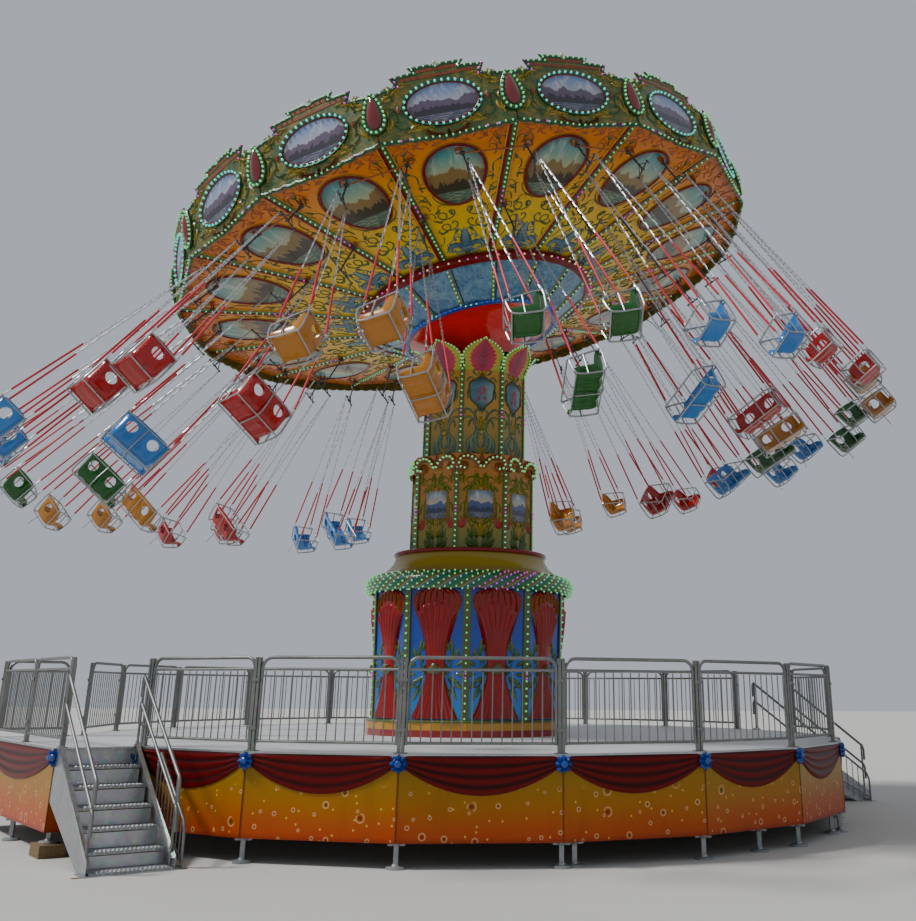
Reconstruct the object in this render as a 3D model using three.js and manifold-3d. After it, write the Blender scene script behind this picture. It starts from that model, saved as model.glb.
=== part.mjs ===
// A chair swing ride: a round platform on legs, a drum, a lifting mast with a turning tower,
// and a tilted crown that carries sixteen double and thirty-two single chairs on chains.
// Millimetres, +Z up. The origin is on the mast's axis, at the ground.
// An azimuth turns from -Y (the front) towards +X.
import * as THREE from "three";
import { mergeVertices } from "three/addons/utils/BufferGeometryUtils.js";
import Module from "manifold-3d";

const wasm = await Module();
wasm.setup();

// Driving dimensions
const RUNNING_GAP = 0.3; // between pieces that touch on the real ride

const PLATFORM_SIDES = 20;
const PLATFORM_RADIUS = 6090; // to the corners
const PLATFORM_TURN = -0.1255; // azimuth of corner 0, in radians
const DECK_TOP = 1195;
const DECK_THICKNESS = 30;
const DECK_HOLE_RADIUS = 1200;
const SKIRT_BOTTOM = 265;
const SKIRT_THICKNESS = 25;
const EXIT_BAY = 6; // the bay from corner 6 to corner 7 is open

const FENCE_HEIGHT = 1050;
const FENCE_FOOT = 90; // clear height under the bottom rail
const FENCE_RAIL = 42;
const FENCE_POST = 60;
const FENCE_RADIUS = 6000; // to the posts, at the corners
const FENCE_GAPS = 2; // openings in one bay

const LANDING_WIDTH = 980;
const STAIR_RISERS = 6;
const STAIR_RUN = 1770;
const ENTRY_WIDTH = 960;
const EXIT_WIDTH = 1100;
const BLOCK_HEIGHT = 140;

const LEG_RADIUS = 38;
const FOOT_RADIUS = 110;
const FOOT_HEIGHT = 25;
const SIDE_LEGS = [12.5, 39, 62]; // azimuths of the extra legs near the stairs, in degrees
const SIDE_LEG_CIRCLE = 5930;
const FOUNDATION_RADIUS = 900; // of the footing under the mast
const FOUNDATION_TOP = 300;
const BEARING_RADIUS = 500; // of the tube that holds the mast post

const DRUM_SIDES = 10;
const DRUM_TURN = -1; // azimuth of a corner, in degrees
const DRUM_BASE_TOP = 1400;
const DRUM_TOP = 3460;
const COLLAR_HOLE = 1170;
const COLLAR_TOP = 4090;

const MAST_SIDES = 8;
const POST_RADIUS = 350;
const POST_TOP = 4900;
const SLEEVE_RADIUS = 450;
const SLEEVE_BOTTOM = 3500;
const SLEEVE_TOP = 7300;
const NECK_RADIUS = 280;
const NECK_TOP = 8200;
const CHEEK_DISTANCE = 200; // from the mast's axis to the fork that holds the tilting axle
const CHEEK_THICKNESS = 65;
const SPINDLE_RADIUS = 140;

const TOWER_SIDES = 8;
const TOWER_TURN = 31; // azimuth of a corner, in degrees
const TOWER_LOWER_RADIUS = 1090;
const TOWER_UPPER_RADIUS = 925;
const TOWER_FLOOR = 3650;
const TOWER_SHELF = 5500;
const TOWER_UPPER_TOP = 7290;
const CREST_RADIUS = 1137;
const CREST_TOP = 5700;
const PETAL_TIP_RADIUS = 1165;
const PETAL_TIP = 7750;

const TILT_PIVOT = 8600; // height of the crown's tilting axle
const TILT = 13.5; // degrees, as the ride runs
const TILT_AZIMUTH = 66.8; // degrees, towards the side that is high
const CROWN_RISE = 750; // from the axle to the crown's centre, along the crown's own axis
const CROWN_SECTORS = 16;
const CROWN_TURN = -1.0357; // azimuth of rib 0 in the crown's frame, in radians
const BOARD_DISTANCE = 5260; // from the crown's axis to a rim board's inner face
const BOARD_THICKNESS = 30;
const BOARD_TOP = 1200;
const BOARD_BOTTOM = -175;
const UNDERSIDE_EDGE = 5200; // radius at which the underside is at z = 0, along a rib
const KNEE_RADIUS = 3020; // where its slope changes
const KNEE_DROP = 375;
const UNDERSIDE_INNER_RADIUS = 2090;
const UNDERSIDE_INNER_DROP = 580;
const DISC_INNER_RADIUS = 1360;
const DISC_BOTTOM = -1160;
const ROOF_HUB = 380; // height of the roof's seat on the spindle

const OUTER_SHAFT_RADIUS = 4750; // distance of the single chairs' shafts from the crown's axis
const OUTER_SHAFT_DROP = 150;
const INNER_SHAFT_RADIUS = 3400;
const INNER_SHAFT_DROP = 385;
const SHAFT_THICKNESS = 25;
const SHAFT_END = 90; // from the last chair's middle to the end of its shaft

// How far the chairs fly out from the crown's axis: a mean and a swell around the crown.
const FLING = { double: 37.2, middle: 38.5, outer: 42.8 };
const FLING_SWELL = 20;
const FLING_SWELL_AZIMUTH = 240;

const CHAIRS = {
  double: { width: 800, reach: 4300, stem: 700, spread: 290 },
  middle: { width: 450, reach: 4300, stem: 500, spread: 165 },
  outer: { width: 450, reach: 4570, stem: 500, spread: 165 },
};
const CHAIN_THICKNESS = 15;
const SEAT_DROP = 160; // from the chains' reach down to the seat
const BACK_HEIGHT = 400;

// Where each hanger is, in sectors from its rib
const HANGER = { double: 0.03, middle: -0.42, outer: 0.12 };
const PAIR_MIDDLE = (HANGER.middle + HANGER.outer) / 2;
const PAIR_SHARE = 0.3; // share of a chair's own angle that it keeps beside its neighbour on the shaft

// Colour, roughness and metalness
const STEEL = ["#8d9196", 0.4, 0.9];
const ALUMINIUM = ["#b4b8bb", 0.4, 0.8];
const DARK_STEEL = ["#3b3f44", 0.45, 0.8];
const SKIRT_COLOUR = ["#d9951c", 0.35];
const COLOURS = ["#1f4fb4", "#c4242c", "#e6b31e", "#1c9a52"]; // blue, red, yellow and green, by rib

const rad = THREE.MathUtils.degToRad;
const ALONG = new THREE.Vector3(1, 0, 0);
const UP = new THREE.Vector3(0, 0, 1);

// Places and directions
const outwards = (azimuth) => new THREE.Vector3(Math.sin(azimuth), -Math.cos(azimuth), 0);
const along = (azimuth) => new THREE.Vector3(Math.cos(azimuth), Math.sin(azimuth), 0);
const polar = (radius, azimuth, height) => outwards(azimuth).multiplyScalar(radius).setZ(height);
const cornerAzimuth = (k) => PLATFORM_TURN + (k * 2 * Math.PI) / PLATFORM_SIDES;
const corner = (k, radius, height) => polar(radius, cornerAzimuth(k), height);
const ribAzimuth = (k) => CROWN_TURN + (k * 2 * Math.PI) / CROWN_SECTORS;
const frameOf = (x, y, z, origin) => new THREE.Matrix4().makeBasis(x, y, z).setPosition(origin);

// Solids
function solid(geometry) {
  const bare = geometry.index ? geometry.toNonIndexed() : geometry.clone();
  bare.deleteAttribute("normal");
  bare.deleteAttribute("uv");
  const merged = mergeVertices(bare, 1e-3);
  const build = (triVerts) =>
    new wasm.Manifold(
      new wasm.Mesh({ numProp: 3, vertProperties: merged.attributes.position.array, triVerts }),
    );
  const made = build(new Uint32Array(merged.index.array));
  return made.volume() > 0 ? made : build(new Uint32Array(merged.index.array).reverse());
}

const join = (pieces) => pieces.map(solid).reduce((a, b) => a.add(b));

function geometryOf(manifold) {
  const mesh = manifold.getMesh();
  const geometry = new THREE.BufferGeometry();
  geometry.setAttribute("position", new THREE.BufferAttribute(mesh.vertProperties, mesh.numProp));
  geometry.setIndex(new THREE.BufferAttribute(mesh.triVerts, 1));
  geometry.computeVertexNormals();
  return geometry;
}

// A ring or a body of revolution about Z with flat sides. Its corners lie at turn, turn + 1 side, ...
function turned(profile, sides, turn) {
  const points = profile.map(([radius, height]) => new THREE.Vector2(radius, height));
  return new THREE.LatheGeometry(points, sides, turn, 2 * Math.PI).rotateX(Math.PI / 2);
}

const ring = (profile, sides, turn) => [turned([...profile, profile[0]], sides, turn)];

function plate(outline, depth, holes = []) {
  const shape = new THREE.Shape(outline.map(([x, y]) => new THREE.Vector2(x, y)));
  shape.holes = holes.map((hole) => new THREE.Path(hole.map(([x, y]) => new THREE.Vector2(x, y))));
  return new THREE.ExtrudeGeometry(shape, { depth, bevelEnabled: false });
}

const box = (width, depth, height) => new THREE.BoxGeometry(width, depth, height);

// A straight bar with flat sides from one point to another.
function bar(from, to, radius, sides = 4) {
  const way = to.clone().sub(from);
  const turn = new THREE.Quaternion().setFromUnitVectors(
    new THREE.Vector3(0, 1, 0),
    way.clone().normalize(),
  );
  return new THREE.CylinderGeometry(radius, radius, way.length(), sides, 1, false)
    .rotateY(Math.PI / sides)
    .applyQuaternion(turn)
    .translate(...from.clone().add(to).divideScalar(2).toArray());
}

// Scene graph
const ride = new THREE.Group();
const crown = new THREE.Group();
const tiltAxis = along(rad(TILT_AZIMUTH)).negate();
crown.quaternion.setFromAxisAngle(tiltAxis, rad(TILT));
crown.position.set(0, 0, CROWN_RISE).applyQuaternion(crown.quaternion);
crown.position.z += TILT_PIVOT;
ride.add(crown);

function addMesh(group, name, pieces, color, roughness = 0.5, metalness = 0) {
  const material = new THREE.MeshStandardMaterial({ color, roughness, metalness });
  const mesh = new THREE.Mesh(geometryOf(join(pieces)), material);
  mesh.name = name;
  group.add(mesh);
  return mesh;
}

// The landing is a rectangle beside the platform, from corner -2 to corner -4.
const landingOut = new THREE.Vector3(-0.836, -0.549, 0).normalize();
const landingBack = new THREE.Vector3(landingOut.y, -landingOut.x, 0);
const landingNear = corner(-2, PLATFORM_RADIUS, 0);
const landingSide = corner(-4, PLATFORM_RADIUS, 0).sub(landingNear);

// The landing's corners, drawn in by a distance: near, near outer, far outer, far.
// The two inner ones lie under the platform by a tuck.
function landingCorners(inset, tuck = 0) {
  const length = landingSide.dot(landingBack) - inset;
  const place = (out, back) =>
    landingNear.clone().addScaledVector(landingOut, out).addScaledVector(landingBack, back);
  return [
    place(-tuck, inset),
    place(LANDING_WIDTH - inset, inset),
    place(LANDING_WIDTH - inset, length),
    place(landingSide.dot(landingOut) - tuck, length),
  ];
}

const flat = (v) => [v.x, v.y];
const BEND = (2 * Math.PI) / PLATFORM_SIDES; // between two bays

// The direction from a towards the inside of a line of corners that runs anticlockwise seen from above
const inwards = (a, b) => UP.clone().cross(b.clone().sub(a).normalize());

// A wall whose outer face lies on a line of corners. Its ends are mitred for a neighbour, or square.
function bentWall(points, thickness, bottom, height, mitre = 0) {
  const last = points.length - 1;
  const way = (i) => points[i + 1].clone().sub(points[i]).normalize();
  const outer = points.map((p) => p.clone());
  outer[0].addScaledVector(way(0), RUNNING_GAP / 2);
  outer[last].addScaledVector(way(last - 1), -RUNNING_GAP / 2);
  const inner = outer.map((p, i) => {
    if (i === 0 || i === last) {
      const along = way(i ? last - 1 : 0).multiplyScalar(i ? -1 : 1);
      const side = i ? inwards(points[last - 1], points[last]) : inwards(points[0], points[1]);
      return p.clone().addScaledVector(side, thickness).addScaledVector(along, thickness * Math.tan(mitre));
    }
    const before = inwards(points[i - 1], p);
    const middle = before.clone().add(inwards(p, points[i + 1])).normalize();
    return p.clone().addScaledVector(middle, thickness / middle.dot(before));
  });
  return plate([...outer, ...inner.reverse()].map(flat), height).translate(0, 0, bottom);
}

const cornersFrom = (first, last, radius) =>
  Array.from({ length: last - first + 1 }, (_, i) => corner(first + i, radius, 0));

// Platform
const SKIRT_ROOM = SKIRT_THICKNESS + RUNNING_GAP;
const innerRadius = PLATFORM_RADIUS - SKIRT_ROOM / Math.cos(Math.PI / PLATFORM_SIDES);

function deck() {
  const deckTuck = 300;
  const round = cornersFrom(0, PLATFORM_SIDES - 1, innerRadius);
  const landing = landingCorners(SKIRT_ROOM, deckTuck);
  const hole = Array.from({ length: 16 }, (_, i) => flat(polar(DECK_HOLE_RADIUS, (i * Math.PI) / 8, 0)));
  const bottom = DECK_TOP - DECK_THICKNESS;
  return [
    plate(round.map(flat), DECK_THICKNESS, [hole]).translate(0, 0, bottom),
    plate(landing.map(flat), DECK_THICKNESS).translate(0, 0, bottom),
  ];
}

const LANDING_LEG_INSET = SKIRT_THICKNESS + 60;

function baseFrame() {
  const top = DECK_TOP - DECK_THICKNESS - RUNNING_GAP;
  const beamHeight = 130;
  const beamWidth = 80;
  const ringWidth = 110;
  const ringTuck = 60;
  const spokeStart = 420;
  const legCircle = FENCE_RADIUS;
  const round = cornersFrom(0, PLATFORM_SIDES - 1, innerRadius).map(flat);
  const inside = cornersFrom(0, PLATFORM_SIDES - 1, innerRadius - ringWidth).map(flat);
  const pieces = [plate(round, beamHeight, [inside]).translate(0, 0, top - beamHeight)];
  const bearing = POST_RADIUS + RUNNING_GAP;
  pieces.push(
    turned(
      [
        [0, 0],
        [FOUNDATION_RADIUS, 0],
        [FOUNDATION_RADIUS, FOUNDATION_TOP],
        [BEARING_RADIUS, FOUNDATION_TOP],
        [BEARING_RADIUS, top],
        [bearing, top],
        [bearing, FOUNDATION_TOP],
        [0, FOUNDATION_TOP],
      ],
      MAST_SIDES,
      0,
    ),
  );
  for (let k = 0; k < PLATFORM_SIDES; k += 4) {
    const length = legCircle - spokeStart;
    pieces.push(
      box(length, beamWidth, beamHeight)
        .translate(spokeStart + length / 2, 0, top - beamHeight / 2)
        .rotateZ(cornerAzimuth(k) - Math.PI / 2),
    );
  }
  const leg = (place, ground) => {
    const at = (height) => place.clone().setZ(height);
    pieces.push(bar(at(ground + FOOT_HEIGHT / 2), at(top - beamHeight / 2), LEG_RADIUS));
    pieces.push(bar(at(ground), at(ground + FOOT_HEIGHT), FOOT_RADIUS, 6));
  };
  for (let k = 0; k < PLATFORM_SIDES; k++) leg(corner(k, legCircle, 0), 0);
  for (const azimuth of SIDE_LEGS) leg(polar(SIDE_LEG_CIRCLE, rad(azimuth), 0), 0);
  const landing = landingCorners(SKIRT_ROOM, ringTuck);
  const landingInner = landingCorners(SKIRT_THICKNESS + ringWidth, ringTuck).reverse();
  const landingRing = plate([...landing, ...landingInner].map(flat), beamHeight);
  pieces.push(landingRing.translate(0, 0, top - beamHeight));
  const [, near, far] = landingCorners(LANDING_LEG_INSET);
  leg(near, BLOCK_HEIGHT + RUNNING_GAP);
  leg(near.clone().lerp(far, 0.5), 0);
  leg(far, 0);
  return pieces;
}

function woodBlock() {
  const place = landingCorners(LANDING_LEG_INSET)[1];
  const length = 420;
  const width = 300;
  return [
    box(length, width, BLOCK_HEIGHT)
      .rotateZ(Math.atan2(landingBack.y, landingBack.x))
      .translate(place.x, place.y, BLOCK_HEIGHT / 2),
  ];
}

const skirt = (points, mitre) => [
  bentWall(points, SKIRT_THICKNESS, SKIRT_BOTTOM, DECK_TOP - SKIRT_BOTTOM, mitre),
];

// Fences
// One bay between two posts; start and end are how far the panel stays from the posts' middles.
function fenceBay(from, to, start, end) {
  const way = to.clone().sub(from).setZ(0);
  const length = way.length() - start - end;
  way.normalize();
  const bottom = FENCE_FOOT;
  const top = FENCE_HEIGHT;
  const pitch = (length - FENCE_RAIL) / FENCE_GAPS;
  const height = top - bottom - 2 * FENCE_RAIL;
  let panel = solid(box(length, FENCE_RAIL, top - bottom).translate(length / 2, 0, (top + bottom) / 2));
  for (let i = 0; i < FENCE_GAPS; i++) {
    const middle = FENCE_RAIL + i * pitch + (pitch - FENCE_RAIL) / 2;
    const gap = box(pitch - FENCE_RAIL, 2 * FENCE_RAIL, height).translate(middle, 0, (top + bottom) / 2);
    panel = panel.subtract(solid(gap));
  }
  const foot = from.clone().addScaledVector(way, start).setZ(DECK_TOP + RUNNING_GAP);
  return geometryOf(panel).applyMatrix4(frameOf(way, UP.clone().cross(way), UP, foot));
}

function fence(points, startsAtNeighbour = false) {
  const atNeighbour = FENCE_POST / 2 / Math.cos(BEND) + (FENCE_RAIL / 2) * Math.tan(BEND) + RUNNING_GAP;
  const inPost = FENCE_POST / 4;
  const postHeight = FENCE_HEIGHT + 5; // with its cap
  const pieces = points
    .slice(1)
    .map((p, i) => fenceBay(points[i], p, startsAtNeighbour && i === 0 ? atNeighbour : inPost, inPost));
  points.forEach((p, i) => {
    if (startsAtNeighbour && i === 0) return;
    const way = points[Math.min(i + 1, points.length - 1)].clone().sub(points[Math.max(i - 1, 0)]);
    pieces.push(
      box(FENCE_POST, FENCE_POST, postHeight)
        .rotateZ(Math.atan2(way.y, way.x))
        .translate(p.x, p.y, DECK_TOP + RUNNING_GAP + postHeight / 2),
    );
  });
  return pieces;
}

// Stairs. In their own frame a flight goes down along +X, from the deck's edge at x = 0.
const rise = DECK_TOP / STAIR_RISERS;
const going = STAIR_RUN / STAIR_RISERS;

function flight(width) {
  const footPlate = 30;
  const cheekThickness = 30;
  const cheekTop = DECK_TOP - 20;
  const cheekFoot = 130;
  const overhang = 10;
  const level = (i) => (i < STAIR_RISERS ? DECK_TOP - i * rise : footPlate);
  const outline = [];
  for (let i = 1; i <= STAIR_RISERS; i++) outline.push([(i - 1) * going, level(i)], [i * going, level(i)]);
  outline.push([STAIR_RUN, 0], [STAIR_RUN - going, 0], [0, level(2)]);
  const cheek = [
    [0, cheekTop],
    [STAIR_RUN + overhang, cheekFoot],
    [STAIR_RUN + overhang, 0],
    [STAIR_RUN - going - 2 * overhang, 0],
    [0, level(2) - 190],
  ];
  const upright = (geometry, y) =>
    geometry.applyMatrix4(frameOf(ALONG, UP, new THREE.Vector3(0, -1, 0), new THREE.Vector3(0, y, 0)));
  return [
    upright(plate(outline, width - cheekThickness), (width - cheekThickness) / 2),
    upright(plate(cheek, cheekThickness), width / 2),
    upright(plate(cheek, cheekThickness), -width / 2 + cheekThickness),
  ];
}

// Handrails on both cheeks, and a low balustrade beside the lower part of one of them
function handrails(width, lowSide) {
  const tube = 20;
  const ends = [60, STAIR_RUN - 90];
  const lowEnds = [600, STAIR_RUN - 90];
  const railHeights = [560, 880];
  const postTop = 905;
  const lowRail = 385;
  const lowPostTop = 405;
  const above = (x, height) => DECK_TOP * (1 - x / STAIR_RUN) + height;
  const upright = (x, y, from, to) =>
    bar(new THREE.Vector3(x, y, from), new THREE.Vector3(x, y, above(x, to)), tube);
  const onSlope = (x, y, height) => new THREE.Vector3(x, y, above(x, height));
  const rail = ([from, to], y, height) => bar(onSlope(from, y, height), onSlope(to, y, height), 0.8 * tube);
  const out = width / 2 - 15;
  const low = lowSide * (width / 2 + 110);
  const pieces = [];
  for (const y of [-out, out]) {
    for (const x of ends) pieces.push(upright(x, y, above(x, -90), postTop));
    for (const height of railHeights) pieces.push(rail(ends, y, height));
  }
  for (const x of lowEnds) {
    const foot = Math.max(above(x, -260), 0);
    const z = foot + 30;
    pieces.push(upright(x, low, foot, lowPostTop));
    pieces.push(bar(new THREE.Vector3(x, lowSide * out, z), new THREE.Vector3(x, low, z), 0.7 * tube));
  }
  pieces.push(rail(lowEnds, low, lowRail));
  return pieces;
}

// Drum
function drumBase() {
  const bottom = DECK_TOP + RUNNING_GAP;
  const inner = 1350;
  const outer = 1670;
  const profile = [
    [inner, bottom],
    [outer, bottom],
    [outer, DRUM_BASE_TOP],
    [inner, DRUM_BASE_TOP],
  ];
  return ring(profile, 20, 0);
}

function drumWall() {
  const bottom = DRUM_BASE_TOP + RUNNING_GAP;
  const wall = 35;
  const foot = 1600; // outer radius below, to the corners
  const head = 1645; // and above
  const profile = [
    [foot - wall, bottom],
    [foot, bottom],
    [head, DRUM_TOP],
    [head - wall, DRUM_TOP],
  ];
  return ring(profile, DRUM_SIDES, rad(DRUM_TURN));
}

function drumCornice() {
  const bottom = DRUM_TOP + RUNNING_GAP;
  const widest = 1750;
  const bandBottom = DRUM_TOP + 80;
  const bandTop = bandBottom + 110;
  const coveTop = COLLAR_TOP - 130;
  const collar = 1280;
  const profile = [
    [1540, bottom],
    [widest - 50, bottom],
    [widest, bandBottom],
    [widest, bandTop],
    [widest - 60, bandTop + 60],
    [1520, bandTop + 110],
    [collar, coveTop],
    [collar, COLLAR_TOP],
    [COLLAR_HOLE, COLLAR_TOP],
    [COLLAR_HOLE, coveTop - 20],
    [1480, bandTop],
  ];
  return ring(profile, 20, 0);
}

// Mast and tower
function mastPost() {
  const bottom = FOUNDATION_TOP + RUNNING_GAP;
  const profile = [
    [0, bottom],
    [POST_RADIUS, bottom],
    [POST_RADIUS, POST_TOP],
    [0, POST_TOP],
  ];
  return [turned(profile, MAST_SIDES, 0)];
}

function mastSleeve() {
  const bore = POST_RADIUS + RUNNING_GAP;
  const boreTop = SLEEVE_TOP - 100;
  const collar = 620; // it carries the tower
  const collarTop = TOWER_FLOOR - RUNNING_GAP;
  const collarBottom = collarTop - 50;
  const profile = [
    [0, boreTop],
    [bore, boreTop],
    [bore, SLEEVE_BOTTOM],
    [SLEEVE_RADIUS, SLEEVE_BOTTOM],
    [SLEEVE_RADIUS, collarBottom],
    [collar, collarBottom],
    [collar, collarTop],
    [SLEEVE_RADIUS, collarTop],
    [SLEEVE_RADIUS, SLEEVE_TOP],
    [NECK_RADIUS, SLEEVE_TOP],
    [NECK_RADIUS, NECK_TOP],
    [0, NECK_TOP],
  ];
  const tube = turned(profile, MAST_SIDES, 0);
  const cheekWidth = 240;
  const cheekHeight = 620;
  const fork = [-1, 1].map((side) =>
    box(CHEEK_THICKNESS, cheekWidth, cheekHeight)
      .translate(side * (CHEEK_DISTANCE + RUNNING_GAP + CHEEK_THICKNESS / 2), 0, NECK_TOP + 210)
      .rotateZ(Math.atan2(tiltAxis.y, tiltAxis.x)),
  );
  return [tube, ...fork];
}

const FLANGE_TOP = 360; // from the axle to the face that the crown's hub rests on

function tiltHead() {
  // In the crown's frame, turned so that the axle lies along X.
  const pivot = -CROWN_RISE;
  const flange = 270;
  const flangeBottom = pivot + 300;
  const flangeTop = pivot + FLANGE_TOP;
  const profile = [
    [0, pivot + 100],
    [SPINDLE_RADIUS, pivot + 100],
    [SPINDLE_RADIUS, flangeBottom],
    [flange, flangeBottom],
    [flange, flangeTop],
    [SPINDLE_RADIUS, flangeTop],
    [SPINDLE_RADIUS, ROOF_HUB],
    [0, ROOF_HUB],
  ];
  const spindle = turned(profile, MAST_SIDES, 0);
  const block = box(2 * CHEEK_DISTANCE - 20, 260, 300).translate(0, 0, pivot + 50);
  const axleEnd = new THREE.Vector3(CHEEK_DISTANCE, 0, pivot);
  const axleRadius = 70;
  const axle = bar(axleEnd.clone().setX(-CHEEK_DISTANCE), axleEnd, axleRadius, 8);
  return [spindle, block, axle];
}

const TOWER_WALL = 40;
const TOWER_HOLE = 500; // radius of the holes that the mast passes through

function towerLower() {
  const floorTop = TOWER_FLOOR + 50;
  const shelfHole = 850;
  const inside = TOWER_LOWER_RADIUS - TOWER_WALL;
  const profile = [
    [TOWER_HOLE, TOWER_FLOOR],
    [TOWER_LOWER_RADIUS, TOWER_FLOOR],
    [TOWER_LOWER_RADIUS, TOWER_SHELF],
    [CREST_RADIUS, TOWER_SHELF + 60],
    [CREST_RADIUS, CREST_TOP],
    [CREST_RADIUS - 35, CREST_TOP],
    [CREST_RADIUS - 50, TOWER_SHELF],
    [shelfHole, TOWER_SHELF],
    [shelfHole, TOWER_SHELF - TOWER_WALL],
    [inside, TOWER_SHELF - TOWER_WALL],
    [inside, floorTop],
    [TOWER_HOLE, floorTop],
  ];
  return ring(profile, TOWER_SIDES, rad(TOWER_TURN));
}

function towerUpper() {
  const bottom = TOWER_SHELF + RUNNING_GAP;
  const inside = TOWER_UPPER_RADIUS - TOWER_WALL;
  const profile = [
    [inside, bottom],
    [TOWER_UPPER_RADIUS, bottom],
    [TOWER_UPPER_RADIUS, TOWER_UPPER_TOP],
    [TOWER_HOLE, TOWER_UPPER_TOP],
    [TOWER_HOLE, TOWER_UPPER_TOP - TOWER_WALL],
    [inside, TOWER_UPPER_TOP - TOWER_WALL],
  ];
  const shell = ring(profile, TOWER_SIDES, rad(TOWER_TURN));
  const faceDistance = TOWER_UPPER_RADIUS * Math.cos(Math.PI / TOWER_SIDES);
  const foot = TOWER_UPPER_TOP - 60;
  const lean = Math.atan2(PETAL_TIP_RADIUS - faceDistance, PETAL_TIP - foot);
  const length = Math.hypot(PETAL_TIP_RADIUS - faceDistance, PETAL_TIP - foot);
  const petalThickness = 25;
  const half = [
    [310, 0],
    [390, length * 0.55],
    [240, length * 0.9],
  ];
  const outline = [[-310, 0], ...half, [0, length], ...half.slice(1).map(([x, y]) => [-x, y]).reverse()];
  const petals = Array.from({ length: TOWER_SIDES }, (_, i) => {
    const azimuth = rad(TOWER_TURN) + ((i + 0.5) * 2 * Math.PI) / TOWER_SIDES;
    const out = outwards(azimuth);
    const up = UP.clone().multiplyScalar(Math.cos(lean)).addScaledVector(out, Math.sin(lean));
    const across = along(azimuth);
    const place = frameOf(across, up, across.clone().cross(up), polar(faceDistance, azimuth, foot));
    return plate(outline, petalThickness).translate(0, 0, -petalThickness).applyMatrix4(place);
  });
  return [...shell, ...petals];
}

// Crown, in its own frame: z = 0 at the rim of its underside
const BOARD_HALF = BOARD_DISTANCE * Math.tan(Math.PI / CROWN_SECTORS);
const edgeRadius = (BOARD_DISTANCE - RUNNING_GAP) / Math.cos(Math.PI / CROWN_SECTORS);

// Height of the underside at a distance from the axis, measured along a rib.
function undersideAt(radius) {
  if (radius > KNEE_RADIUS) return ((radius - UNDERSIDE_EDGE) * KNEE_DROP) / (UNDERSIDE_EDGE - KNEE_RADIUS);
  const slope = (UNDERSIDE_INNER_DROP - KNEE_DROP) / (KNEE_RADIUS - UNDERSIDE_INNER_RADIUS);
  return (radius - KNEE_RADIUS) * slope - KNEE_DROP;
}

function crownUnderside() {
  const skin = 40;
  const rimTop = 150;
  const inner = UNDERSIDE_INNER_RADIUS;
  const profile = [
    [inner, undersideAt(inner)],
    [KNEE_RADIUS, undersideAt(KNEE_RADIUS)],
    [edgeRadius, undersideAt(edgeRadius)],
    [edgeRadius, rimTop],
    [edgeRadius - skin, rimTop],
    [edgeRadius - skin, undersideAt(edgeRadius) + skin],
    [KNEE_RADIUS, undersideAt(KNEE_RADIUS) + skin],
    [inner, undersideAt(inner) + skin],
  ];
  const shell = ring(profile, CROWN_SECTORS, CROWN_TURN);
  const hubBottom = FLANGE_TOP - CROWN_RISE + RUNNING_GAP;
  const hubTop = ROOF_HUB - 10;
  const hubBore = 153;
  const hubRadius = 300;
  const hubProfile = [
    [hubBore, hubBottom],
    [hubRadius, hubBottom],
    [hubRadius, hubTop],
    [hubBore, hubTop],
  ];
  const pieces = [...shell, ...ring(hubProfile, MAST_SIDES, CROWN_TURN)];
  const armRadius = 60;
  for (let k = 0; k < CROWN_SECTORS; k += 4) {
    const start = polar(hubRadius - 80, ribAzimuth(k), 60);
    pieces.push(bar(start, polar(edgeRadius - 20, ribAzimuth(k), 90), armRadius));
  }
  for (const swing of swings)
    for (const offset of swing.saddles) pieces.push(saddle(swing, offset));
  return pieces;
}

// The block that holds a shaft under the crown
function saddle(swing, offset) {
  const side = 70;
  const bottom = swing.height + SHAFT_THICKNESS + RUNNING_GAP;
  const reach = Math.hypot(swing.radius, offset);
  const top = undersideAt(reach) + 25;
  return box(side, side, top - bottom)
    .translate(swing.radius, offset, (top + bottom) / 2)
    .rotateZ(swing.azimuth - Math.PI / 2);
}

function crownDisc() {
  const outer = UNDERSIDE_INNER_RADIUS - RUNNING_GAP;
  const widest = 2190;
  const inside = 2040;
  const top = 20 - UNDERSIDE_INNER_DROP;
  const skin = 30;
  const profile = [
    [outer, top],
    [outer, top - 80],
    [widest, top - 100],
    [widest, top - 160],
    [inside + 40, top - 180],
    [1450, DISC_BOTTOM],
    [DISC_INNER_RADIUS, DISC_BOTTOM],
    [DISC_INNER_RADIUS, DISC_BOTTOM + skin],
    [1440, DISC_BOTTOM + skin],
    [inside, top - 140],
    [inside, top],
  ];
  return ring(profile, CROWN_SECTORS, CROWN_TURN);
}

function crownBell() {
  const top = DISC_BOTTOM - RUNNING_GAP;
  const mouth = 665;
  const profile = [
    [DISC_INNER_RADIUS, top],
    [1440, top],
    [1200, top - 55],
    [1000, top - 140],
    [850, top - 240],
    [mouth, top - 460],
    [mouth - 25, top - 450],
    [825, top - 215],
    [985, top - 110],
    [1190, top - 25],
  ];
  return ring(profile, CROWN_SECTORS, CROWN_TURN);
}

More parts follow.
